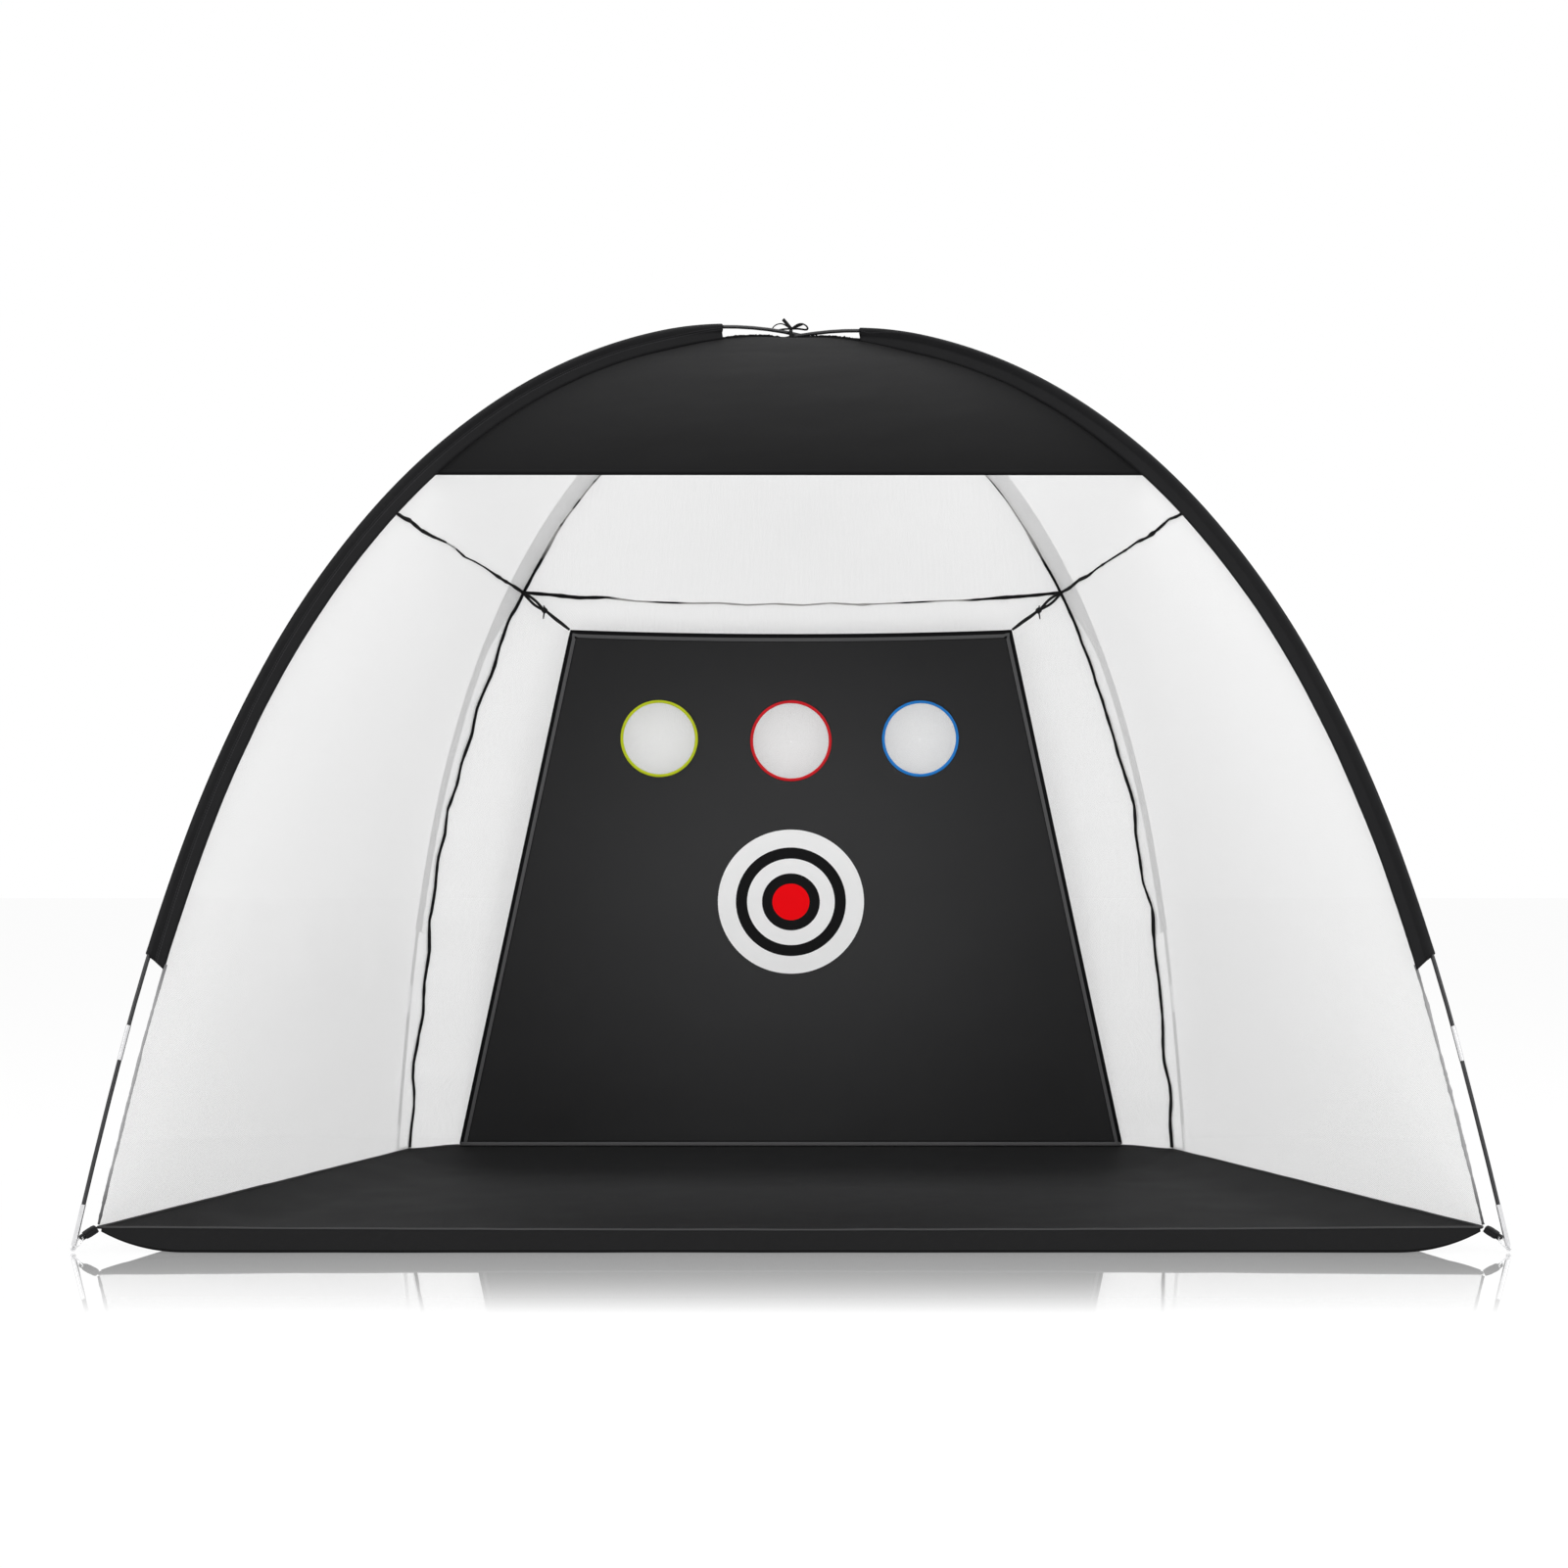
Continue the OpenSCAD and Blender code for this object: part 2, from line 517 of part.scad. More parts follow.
// The rear panels follow the lifted foot and the sagging ring seam, and share their columns
function mirrored(list) = [for (i = [len(list) - 1:-1:0]) 1 - list[i]];
function edge_steps(total) = [for (k = [0, 0.2, 0.4, 0.65, 1]) k * border_w / total];
function across(total) =
  let (steps = edge_steps(total), last = border_w / total,
       half = concat(steps, [for (k = [1:3]) mix(last, 0.5, k / 4)]))
  concat(half, [0.5], mirrored(half));
rear_cols = across(corner[3].x - corner[2].x);
rear_last = len(rear_cols) - 1;
foot_slack = 1.6;
function rear_lift(x) = rear_edge_lift * smooth((corner[3].x - abs(x)) / (corner[3].x - target_foot_w / 2));
module net_rear_lower() color(MESH) {
  g = panel(2, 3, u_corner, u_ring, v_low, 1 - v_ring, net_rows, rear_cols);
  sheet([for (i = [0:net_rows]) [for (j = [0:rear_last])
    let (p = g[i][j], v = i / net_rows, lift = rear_lift(p.x) * pow(1 - v, 3))
    p + [0, foot_slack * pow(1 - v, 6), lift - ring_sag * bump(rear_cols[j]) * v * v]]], net_t);
}
module net_rear_upper() color(MESH) {
  g = panel(2, 3, u_ring, u_crown, v_ring_up, 1, net_rows, rear_cols);
  sheet([for (i = [0:net_rows]) [for (j = [0:rear_last]) let (v = i / net_rows)
    g[i][j] - [0, 0, ring_sag * bump(rear_cols[j]) * (1 - v) * (1 - v)]]], net_t);
}

// The header hangs between the front sleeves down to a straight hem
u_header = [for (h = HALVES) find_u(h, header_z, seam_off)];
module header() color(BLACK)
  sheet(panel(0, 1, u_header, u_crown, 0, 1, 14, even(6)), cloth_t);

// ---- seams ----------------------------------------------------------------------------------
function seam_path(i, u0, u1, n) = [for (k = [0:n]) on_seam(HALVES[i], mix(u0, u1, k / n))];
module seam_rear(i) color(BLACK) {
  gap = (piping_r + seam_r + sewn_gap) / HALVES[i][1];
  rope(seam_path(i, u_corner[i] - gap, seam_end / HALVES[i][1], 30), seam_r, 6, sideways(HALVES[i]));
}
module edge_binding(i) color(GREY) {
  gap = (piping_r + seam_r + sewn_gap) / HALVES[i][1];
  rope(seam_path(i, u_corner[i] - gap, u_low[i] + 0.4 / HALVES[i][1], 8), seam_r, 6, sideways(HALVES[i]));
}
module top_seam(i) color(BLACK) {
  h = HALVES[i];
  rope(seam_path(i, u_top[i] - 0.4 / h[1], seam_end / h[1], 6), seam_r, 6, sideways(h));
}

function cut_ends(a, b, gap) = [a + unit(b - a) * gap, b - unit(b - a) * gap];
function ring_point(i) = on_seam(HALVES[i], u_ring[i]);
module ring_seam() color(BLACK) {
  gap = 2 * seam_r + sewn_gap;
  for (s = [[0, 2], [1, 3]]) rope(cut_ends(ring_point(s[0]), ring_point(s[1]), gap), seam_r);
  back = cut_ends(ring_point(2), ring_point(3), gap);
  rope([for (t = rear_cols) mix(back[0], back[1], t) - [0, 0, ring_sag * bump(t)]], seam_r);
}

// ---- ground sheet ---------------------------------------------------------------------------
// The piped edge, as a height over a point of the edge from the left or front end
function front_edge(t) = mix(corner[0], corner[1], t) - [0, 0, front_edge_sag * bump(t)];
function rear_edge(t) = let (p = mix(corner[2], corner[3], t)) p + [0, 0, rear_lift(p.x)];
module ground_piping() color(GREY) {
  back = [for (i = [rear_last:-1:0]) rear_edge(rear_cols[i])];
  path = concat([for (t = [0:0.125:1]) front_edge(t)], back);
  m = len(path);
  hoop([for (i = [0:m - 1])
    let (t0 = unit(path[i] - path[(i + m - 1) % m]), t1 = unit(path[(i + 1) % m] - path[i]),
         t = unit(t0 + t1), a = unit(cross(t, [0, 0, 1])), b = cross(t, a), open = 1 / max(0.4, t * t0))
    ring_at(path[i], b, a, piping_r, piping_r * open, 8)]);
}

// A point of the sheet, from shares across and along and the distances to the four edges
sheet_in = piping_r + sewn_gap + cloth_t / 2;
function sheet_point(a, b) =
  let (p = mix(front_edge(a), rear_edge(a), b),
       q = mix(mix(corner[0], corner[2], b), mix(corner[1], corner[3], b), a),
       wide = norm(mix(corner[1], corner[3], b) - mix(corner[0], corner[2], b)),
       long = corner[2].y - corner[0].y,
       near = min(1, min(min(a, 1 - a) * wide, min(b, 1 - b) * long) / border_w),
       side = min(a, 1 - a) * wide < min(b, 1 - b) * long,
       rim = side ? q.z : p.z)
  [q.x, q.y, cloth_t / 2 + (rim - cloth_t / 2) * (1 - near) * (1 - near)];
function inset_share(s, gap) = mix(gap, 1 - gap, s);
module ground_sheet() color(BLACK) {
  front = corner[1].x - corner[0].x;
  rear = corner[3].x - corner[2].x;
  long = corner[2].y - corner[0].y;
  steps = edge_steps(long);
  sheet([for (b = concat(steps, mirrored(steps)))
    let (wide = mix(front, rear, b))
    [for (a = across(wide)) sheet_point(inset_share(a, sheet_in / wide), inset_share(b, sheet_in / long))]],
    cloth_t);
}

// The skirt hangs from the piped front edge, and its hem leaves the ground near the corners
function skirt_shares(part, steps) =
  let (half = concat([for (k = [0:steps - 1]) part * k / steps], [for (k = [0:2]) mix(part, 0.5, k / 3)]))
  concat(half, [0.5], mirrored(half));
module front_skirt() color(BLACK) {
  wide = corner[1].x - corner[0].x;
  end_gap = 6 / wide;
  sheet([for (s = skirt_shares(skirt_run / wide, 6))
    let (t = mix(end_gap, 1 - end_gap, s), far = min(t, 1 - t) * wide, p = front_edge(t) - [0, sheet_in, 0],
         low = pow(max(0, 1 - far / skirt_run), 2), z = mix(cloth_t / 2, p.z - 2, low))
    [for (r = [0, 0.5, 1]) [p.x, p.y - (skirt_out - sheet_in) * r * (1 - low), mix(p.z, z, r)]]], cloth_t);
}

// ---- target ---------------------------------------------------------------------------------
target_foot = rear_edge(0.5) + [0, -1.5, piping_r + sewn_gap + 0.2];
target_corner_z = ring_point(2).z - target_drop;
net_behind = on_seam(RL, find_u(RL, target_corner_z, seam_off)).y;
target_lean = atan2(target_foot.y - (net_behind - target_clear), target_corner_z - target_foot.z);
target_h = (target_corner_z - target_foot.z) / cos(target_lean);
module on_target() translate(target_foot) rotate([90 + target_lean, 0, 0]) children();
// A point of the tilted cloth, in the part's frame
function target_point(x, up) = target_foot + [x, -up * sin(target_lean), up * cos(target_lean)];
side_slope = atan2((target_foot_w - target_top_w) / 2, target_h);
// The cloth's outline, drawn in by a distance along its sides and top
function target_outline(in, foot = 0) =
  let (low = target_foot_w / 2 - in / cos(side_slope), top = target_h - in,
       at_top = low - top * tan(side_slope), at_foot = low - foot * tan(side_slope))
  concat([[-at_foot, foot], [at_foot, foot]],
         [for (t = [1:-0.125:0]) [mix(-at_top, at_top, t), top - target_sag * bump(t)]]);
HOLE_D = [hole_left_d, hole_mid_d, hole_right_d];
HOLE_AT = [[-hole_pitch - 4, hole_up + 4], [0, hole_up], [hole_pitch, hole_up + 4]];
HOLE_COLOUR = ["yellowgreen", "crimson", "dodgerblue"];
rim_play = 0.3;
module target_cloth() color(BLACK) on_target()
  translate([0, 0, -target_t / 2]) linear_extrude(target_t) difference() {
    polygon(target_outline(binding_t + rim_play));
    for (i = [0:2]) translate(HOLE_AT[i]) circle(d = HOLE_D[i], $fn = 96);
  }

// Binding tape, folded over the cloth's sides and top
module target_binding() color(GREY) on_target() difference() {
  frame_t = target_t + 2 * (binding_t + rim_play);
  translate([0, 0, -frame_t / 2]) linear_extrude(frame_t) difference() {
    polygon(target_outline(0));
    polygon(target_outline(binding_w, -1));
  }
  translate([0, 0, -target_t / 2 - rim_play]) linear_extrude(target_t + 2 * rim_play)
    polygon(target_outline(binding_t, -1));
}

// A rim is a folded tape ring that holds the edge of its hole
module hole_rim(i) color(HOLE_COLOUR[i]) on_target() translate(HOLE_AT[i]) {
  r = HOLE_D[i] / 2;
  face = target_t / 2 + rim_play;
  rotate_extrude($fn = 96) difference() {
    translate([r - rim_play - binding_t, -face - binding_t]) square([rim_w, 2 * (face + binding_t)]);
    translate([r - rim_play, -face]) square([rim_w, 2 * face]);
  }
}

// A shallow mesh pocket behind each hole stops the ball
module pocket(i) color(MESH) on_target() translate(HOLE_AT[i]) {
  r = HOLE_D[i] / 2 + rim_w / 2;
  start = -(target_t / 2 + rim_play + binding_t + sewn_gap);
  profile = [for (t = [0:10:90]) [r * cos(t), start - pocket_depth * sin(t)]];
  inside = [for (t = [0:10:90]) [(r - pocket_t) * cos(t), start - (pocket_depth - pocket_t) * sin(t)]];
  rotate_extrude($fn = 48) polygon(concat(profile, [for (k = [9:-1:0]) inside[k]]));
}

// ---- ties -----------------------------------------------------------------------------------
// Elastic strap from the ring seam's corner to the target's corner. Up to its knot it is doubled,
// and it starts just in front of the seams, inside the net
strap_gap = 3.4;
tail_step = [1.4, -0.8, -3.8];
KNOTTED = [[0, 1.1], [0.2, 1.4], [0.36, 1.4], [0.39, 2], [0.42, 2.6], [0.46, 2.75], [0.5, 2.5], [0.53, 1.6],
           [0.56, 1], [0.7, 1], [0.85, 1], [1, 1]];
module target_tie(s) color(BLACK) {
  i = s < 0 ? 2 : 3;
  a = ring_point(i) - [0, strap_gap, 0];
  b = target_point(s * target_top_w / 2, target_h);
  d = unit(b - a);
  start = a + d * (seam_r + sewn_gap);
  end = b - d * strap_r * 1.5;
  sag = strap_r * 0.8;
  rope([for (k = KNOTTED) mix(start, end, k[0]) - [0, 0, sag * bump(k[0])]],
       [for (k = KNOTTED) k[1] > 1.5 ? knot_r * k[1] / 2.75 : strap_r * k[1]], 8, [0, 1, 0]);
  tail = mix(start, end, 0.46) - [0, 0, sag + knot_r + sewn_gap];
  rope([for (t = [0:5]) tail + t * [s * tail_step.x, tail_step.y, tail_step.z]], strap_r * 0.7, 6, [0, 1, 0]);
}

// A ribbon is sewn to the crown, wraps the crossing poles and is tied in a bow above them
tie_low = crown_z;
tie_high = top_z + rod_d / 2 + 2 * sewn_gap + ribbon_t / 2;
tie_half = rod_d * 0.88 + ribbon_w * 0.29 + 1.3;
function soften(v) = sign(v) * pow(abs(v), 0.6);
function wrap(t) = [0, cross_y + tie_half * soften(sin(t)), mix(tie_low, tie_high, 0.5 + soften(cos(t)) / 2)];
BOW = [[3.6, 0.9], [8, 6], [13, 10], [18, 11], [24, 8.5], [29, 3], [31, -3], [28, -5], [20, -2.4], [12, -0.6],
       [3.6, -0.9]];
TAILS = [[-13, 4.7, 17], [21, 3.4, 12]];
module crossing_tie() color(BLACK) {
  knot = [0, cross_y, tie_high + ribbon_t / 2 + sewn_gap + 2.6];
  hoop([for (t = [0:30:330]) flat_ring(wrap(t), wrap(t + 10) - wrap(t - 10), [1, 0, 0], ribbon_w, ribbon_t)]);
  rope([for (x = [-2.8:1.4:2.8]) knot + [x, 0, 0]], [1.4, 2.3, 2.6, 2.3, 1.4], 8);
  for (side = [-1, 1])
    ribbon([for (p = BOW) knot + [side * p.x, 0, p.y]], ribbon_w * 0.8, ribbon_t * 0.6, [0, side, 0]);
  for (end = TAILS) {
    d = unit([end.x, 0, end.z]);
    ribbon([for (t = [0:0.25:1]) knot + [end.x * t, -end.y - 2 * t * t, end.z * t]],
           ribbon_w * 0.6, ribbon_t, [d.z, 0, -d.x]);
  }
}

// ---- the part -------------------------------------------------------------------------------
for (k = [0:1]) {
  pole = k == 0 ? UPPER : LOWER;
  rods(pole, 0, front_sections - 1);
  rods(pole, front_sections, rod_count - 1);
  ferrules(pole);
  shock_cord(pole);
}
for (i = [0:3]) {
  end_tip(HALVES[i]);
  ring_pin(HALVES[i]);
  corner_ring(HALVES[i]);
  corner_webbing(i);
  sleeve(i);
}
for (k = [0:1]) {
  net_side_lower(k, k + 2);
  net_side_upper(k, k + 2);
  seam_rear(k + 2);
  edge_binding(k);
  top_seam(k);
  target_tie(k == 0 ? -1 : 1);
}
header();
net_rear_lower();
net_rear_upper();
ring_seam();
ground_sheet();
ground_piping();
front_skirt();
target_cloth();
target_binding();
hole_rim(0);  // hole_rim_left
hole_rim(1);  // hole_rim_middle
hole_rim(2);  // hole_rim_right
pocket(0);  // pocket_left
pocket(1);  // pocket_middle
pocket(2);  // pocket_right
crossing_tie();
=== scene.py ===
"""Looks of the golf chipping net. Metres, +Z up, the open front faces -Y, the origin is on the ground.

The poles' curves are worked out once, as in the part's source, and every sewn piece takes its place
from them: sleeves, seams, net panels, header, ground sheet and target.
"""
import math

import bmesh
import bpy
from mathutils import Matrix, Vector, noise


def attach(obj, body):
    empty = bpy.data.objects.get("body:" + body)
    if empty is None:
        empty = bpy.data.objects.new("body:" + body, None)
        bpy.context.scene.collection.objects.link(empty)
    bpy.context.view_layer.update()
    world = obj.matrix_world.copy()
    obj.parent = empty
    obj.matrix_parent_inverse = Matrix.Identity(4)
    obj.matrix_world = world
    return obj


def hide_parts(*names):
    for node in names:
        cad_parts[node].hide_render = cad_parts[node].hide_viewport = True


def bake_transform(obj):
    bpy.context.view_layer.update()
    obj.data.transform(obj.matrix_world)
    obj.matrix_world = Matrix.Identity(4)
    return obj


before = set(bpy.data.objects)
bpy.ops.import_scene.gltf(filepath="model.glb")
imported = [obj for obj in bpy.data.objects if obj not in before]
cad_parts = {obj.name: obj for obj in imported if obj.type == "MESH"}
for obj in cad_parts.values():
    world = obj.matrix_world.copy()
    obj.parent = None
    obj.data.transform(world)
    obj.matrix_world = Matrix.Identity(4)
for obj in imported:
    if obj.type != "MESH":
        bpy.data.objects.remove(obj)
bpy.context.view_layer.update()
MM = 0.001
SIDES = ("left", "right")
CORNERS = ("front_left", "front_right", "rear_left", "rear_right")
TOUCHING = 1e-6


# ---- camera, stage and lamps -----------------------------------------------------------------
CAMERA_PLACE, CAMERA_SHIFT = (0, -3.792, 0.546), (-0.0044, 0.0484)
CAMERA_LENS, CAMERA_SENSOR = 54.35, 36
LAMP_AIM = (0, 0, 0.6)
LAMPS = (("left_lamp", (-3.2, -4.0, 2.9), 2.6, 75), ("right_lamp", (3.4, -3.7, 2.6), 2.6, 66),
         ("top_lamp", (0.4, 0.6, 4.4), 2.4, 50))
WORLD_LIGHT = 0.78
FLOOR_SIZE, FLOOR_DROP = 60, 0.0012
FLOOR_COLOUR, FLOOR_GLOW = (0.97, 0.97, 0.97), 0.85
POLISH, POLISH_REACH, POLISH_FALL = 1.56, 0.436, 2.5
POLISH_HALF, POLISH_IOR, POLISH_ROUGHNESS = (1.0, 0.5), 1.8, 0.015


def set_camera():
    lens = bpy.data.cameras.new("camera")
    lens.sensor_width = CAMERA_SENSOR
    lens.lens = CAMERA_LENS
    lens.shift_x, lens.shift_y = CAMERA_SHIFT
    camera = bpy.data.objects.new("camera", lens)
    camera.location = CAMERA_PLACE
    camera.rotation_euler = (math.radians(90), 0, 0)
    bpy.context.scene.collection.objects.link(camera)
    bpy.context.scene.camera = camera
    bpy.context.scene.view_settings.view_transform = "Standard"


def area_lamp(name, place, size, power):
    lamp = bpy.data.lights.new(name, "AREA")
    lamp.shape = "DISK"
    lamp.size = size
    lamp.energy = power
    obj = bpy.data.objects.new(name, lamp)
    obj.location = place
    obj.rotation_euler = (Vector(LAMP_AIM) - Vector(place)).to_track_quat("-Z", "Y").to_euler()
    bpy.context.scene.collection.objects.link(obj)


def set_world():
    """White for the eye, in glass and in metal, and a plainer level as light."""
    world = bpy.data.worlds.new("studio")
    world.use_nodes = True
    bpy.context.scene.world = world
    tree = world.node_tree
    background = tree.nodes["Background"]
    background.inputs["Color"].default_value = (1, 1, 1, 1)
    seen = seen_by_eye(tree)
    level = tree.nodes.new("ShaderNodeMapRange")
    level.inputs["To Min"].default_value = WORLD_LIGHT
    level.inputs["To Max"].default_value = 1
    tree.links.new(seen, level.inputs["Value"])
    tree.links.new(level.outputs["Result"], background.inputs["Strength"])


def seen_by_eye(tree):
    """1 for a ray from the camera, or one that a mirror or glass sends on."""
    path = tree.nodes.new("ShaderNodeLightPath")
    seen = path.outputs["Is Camera Ray"]
    for kind in ("Is Glossy Ray", "Is Transmission Ray"):
        either = tree.nodes.new("ShaderNodeMath")
        either.operation = "MAXIMUM"
        tree.links.new(seen, either.inputs[0])
        tree.links.new(path.outputs[kind], either.inputs[1])
        seen = either.outputs[0]
    return seen


def set_floor():
    """A pale floor, white to the eye but for the object's shadow, and polished close to the object."""
    deselect()
    bpy.ops.mesh.primitive_plane_add(size=FLOOR_SIZE, location=(0, 0, -FLOOR_DROP))
    floor = bpy.context.object
    floor.name = "studio_floor"
    paint = Finish("studio_floor", FLOOR_COLOUR, 0.6, 0.2)
    floor.data.materials.append(paint.paint)
    glow = paint.node("Emission", Color=(1, 1, 1, 1))
    pale = paint.node("MixShader", i0=paint.sum("MULTIPLY", seen_by_eye(paint.tree), FLOOR_GLOW),
                      i1=paint.shader.outputs[0], i2=glow.outputs[0])
    beyond = [paint.sum("MAXIMUM", paint.sum("SUBTRACT", paint.sum("ABSOLUTE", value), half), 0)
              for value, half in zip(paint.spot(), POLISH_HALF)]
    away = paint.sum("SQRT", paint.sum("ADD", *[paint.sum("MULTIPLY", value, value) for value in beyond]))
    fall = paint.sum("POWER", paint.sum("DIVIDE", away, POLISH_REACH), POLISH_FALL)
    near = paint.sum("MAXIMUM", paint.sum("MULTIPLY", paint.sum("SUBTRACT", 1, fall), POLISH), 0)
    gleam = paint.node("Fresnel", IOR=POLISH_IOR)
    mirror = paint.node("BsdfPrincipled", Base_Color=(1, 1, 1, 1), Metallic=1, Roughness=POLISH_ROUGHNESS)
    paint.surface(paint.node("MixShader", i0=paint.sum("MULTIPLY", near, gleam.outputs[0]),
                             i1=pale.outputs[0], i2=mirror.outputs[0]))


# ---- modelling helpers -----------------------------------------------------------------------
def deselect():
    bpy.ops.object.select_all(action="DESELECT")


def mix(a, b, t):
    return a + (b - a) * t


def smooth(t):
    c = min(1.0, max(0.0, t))
    return c * c * (3 - 2 * c)


def arch(t):
    return 4 * t * (1 - t)


def drift(x, row, size):
    """Smooth repeatable wander between about -1 and 1 along x.

    A row is a number that only keeps one wander apart from the others, here and in kink and crease.
    """
    return noise.noise(Vector((x / size, row * 7.31, 0.5))) * 1.6


def kink(x, row, size):
    """A wander with corners: straight runs between repeatable steps."""
    k = math.floor(x / size)
    a, b = (noise.noise(Vector((n * 1.73 + 0.37, row * 5.17, 2.5))) * 1.6 for n in (k, k + 1))
    return mix(a, b, x / size - k)


def crease(x, y, row, size):
    return noise.noise(Vector((x / size, y / size, row * 3.7))) * 1.4


def chaikin(points, times=2, closed=False):
    """Rounds the corners of a line of points."""
    for _ in range(times):
        out = []
        pairs = list(zip(points, points[1:]))
        if closed:
            pairs.append((points[-1], points[0]))
        else:
            out.append(points[0])
        for a, b in pairs:
            out += [mix(a, b, 0.25), mix(a, b, 0.75)]
        if not closed:
            out.append(points[-1])
        points = out
    return points


def evenly(points, count):
    """count + 1 points at equal distances along a line of points."""
    at = [0.0]
    for a, b in zip(points, points[1:]):
        at.append(at[-1] + (b - a).length)
    out, k = [], 0
    for i in range(count + 1):
        want = at[-1] * i / count
        while k < len(points) - 2 and at[k + 1] < want:
            k += 1
        span = at[k + 1] - at[k]
        out.append(mix(points[k], points[k + 1], (want - at[k]) / span if span else 0))
    return out


def frames(points, up, closed=False):
    """Two unit vectors square to the line at each point, with little twist, from a first direction."""
    last = len(points) - 1
    out, side = [], Vector(up)
    for i in range(last + 1):
        if closed:
            run = points[(i + 1) % (last + 1)] - points[i - 1]
        else:
            run = points[min(last, i + 1)] - points[max(0, i - 1)]
        run.normalize()
        side = (side - run * side.dot(run)).normalized()
        out.append((side, run.cross(side)))
    return out


def on_outline(outline, a):
    """The corner of a closed outline at a share of the way round it."""
    return outline[round(a * len(outline)) % len(outline)]


def grid_piece(name, across, up, point, wrap=False, cap=False):
    """A cloth of across x up squares whose corners lie at point(a, b), with its UV map in metres.

    wrap joins its two sides into a tube, and cap closes the tube's ends.
    """
    deselect()
    bpy.ops.mesh.primitive_grid_add(x_subdivisions=across, y_subdivisions=up, size=2)
    piece = bpy.context.object
    piece.name = name
    mesh = piece.data
    mesh.name = name
    shares = [((v.co.x + 1) / 2, (v.co.y + 1) / 2) for v in mesh.vertices]
    places = [Vector(point(a, b)) for a, b in shares]
    for vertex, place in zip(mesh.vertices, places):
        vertex.co = place
    grid = {}
    for (a, b), place in zip(shares, places):
        grid[round(a * across), round(b * up)] = place
    middle = across // 2
    heights = [0.0]
    for j in range(up):
        heights.append(heights[-1] + (grid[middle, j + 1] - grid[middle, j]).length)
    widths = []
    for j in range(up + 1):
        row = [0.0]
        for i in range(across):
            row.append(row[-1] + (grid[i + 1, j] - grid[i, j]).length)
        half = 0 if wrap else row[-1] / 2
        widths.append([x - half for x in row])
    layer = mesh.uv_layers.active.data
    for loop in mesh.loops:
        a, b = shares[loop.vertex_index]
        i, j = round(a * across), round(b * up)
        layer[loop.index].uv = (widths[j][i], heights[j])
    if wrap or cap:
        work = bmesh.new()
        work.from_mesh(mesh)
        bmesh.ops.remove_doubles(work, verts=work.verts, dist=TOUCHING)
        if cap:
            rims = [e for e in work.edges if e.is_boundary]
            bmesh.ops.holes_fill(work, edges=rims, sides=0)
        bmesh.ops.recalc_face_normals(work, faces=work.faces)
        work.to_mesh(mesh)
        work.free()
    for face in mesh.polygons:
        face.use_smooth = True
    return piece


def tube(name, line, radius, sides=8, up=(0, 0, 1), flat=1.0, closed=False):
    """A round or flattened cord of cloth along a line; radius is one number or a function of the share."""
    if closed and (line[0] - line[-1]).length < TOUCHING:
        line = line[:-1]
    around = frames(line, up, closed)
    if closed:
        line, around = line + [line[0]], around + [around[0]]
    count = len(line) - 1

    def point(a, b):
        i = round(b * count)
        r = radius(b) if callable(radius) else radius
        turn = 2 * math.pi * (1 - a)
        side, top = around[i]
        return line[i] + side * (r * math.cos(turn)) + top * (r * flat * math.sin(turn))

    return grid_piece(name, sides, count, point, wrap=True, cap=not closed)


def ribbon(name, line, wide, thick, up, closed=False):
    """A flat tape with rounded edges along a line; up is the direction of its width."""
    half, edge, inner = wide / 2, thick * 0.32, wide / 2 - thick * 0.4
    outline = [(-half, edge), (-inner, thick / 2), (inner, thick / 2), (half, edge)]
    outline += [(x, -y) for x, y in reversed(outline)]
    around = frames(line, up, closed)
    if closed:
        line, around = line + [line[0]], around + [around[0]]
    count = len(line) - 1

    def point(a, b):
        i = round(b * count)
        x, y = on_outline(outline, a)
        side, top = around[i]
        return line[i] + side * x + top * y

    return grid_piece(name, len(outline), count, point, wrap=True, cap=not closed)


def apply_modifier(piece, kind, **values):
    deselect()
    piece.select_set(True)
    bpy.context.view_layer.objects.active = piece
    modifier = piece.modifiers.new(kind.lower(), kind)
    for name, value in values.items():
        setattr(modifier, name, value)
    bpy.ops.object.modifier_apply(modifier=modifier.name)


def thicken(piece, thick, offset=0.0):
    apply_modifier(piece, "SOLIDIFY", thickness=thick, offset=offset, use_even_offset=False)


def join(name, pieces):
    deselect()
    for piece in pieces:
        piece.select_set(True)
    bpy.context.view_layer.objects.active = pieces[0]
    bpy.ops.object.join()
    joined = bpy.context.object
    joined.name = name
    joined.data.name = name
    return joined


def dress(piece, finish, body="shelter", stands_for=()):
    """Gives a piece its finish, its body and the CAD nodes that it stands for."""
    piece.data.materials.clear()
    piece.data.materials.append(FINISHES[finish])
    if body:
        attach(piece, body)
    if stands_for:
        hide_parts(*stands_for)
    return piece


def cloth_area(piece):
    """The area of a cloth before it gets its thickness."""
    work = bmesh.new()
    work.from_mesh(piece.data)
    area = sum(face.calc_area() for face in work.faces)
    work.free()
    return area


def declare(piece, held, *rests_on):
    """Works out a piece's flat size as it was cut: its width, its length and its area, and keeps none of
    them.
    """
    corners = [x.uv for x in piece.data.uv_layers.active.data]
    wide, long = (max(uv[k] for uv in corners) - min(uv[k] for uv in corners) for k in (0, 1))
    area = cloth_area(piece)
    wide = max(wide, area / long)


# ---- finishes --------------------------------------------------------------------------------
FINISHES = {}
STITCH, STITCH_SHARE, THREAD_HALF = 0.004, 0.68, 0.0006
RELIEF, HEM_SHADE = 0.00025, 0.3
TAPE_PITCH, EDGE_PITCH = 0.0008, 0.0009
NET_PITCH, NET_HOLE, NET_LATTICE = 0.0024, 0.6, 1.1547
SEAM_BLACK, WORN_BARE = (0.004, 0.004, 0.0045), (0.4, 0.395, 0.385)


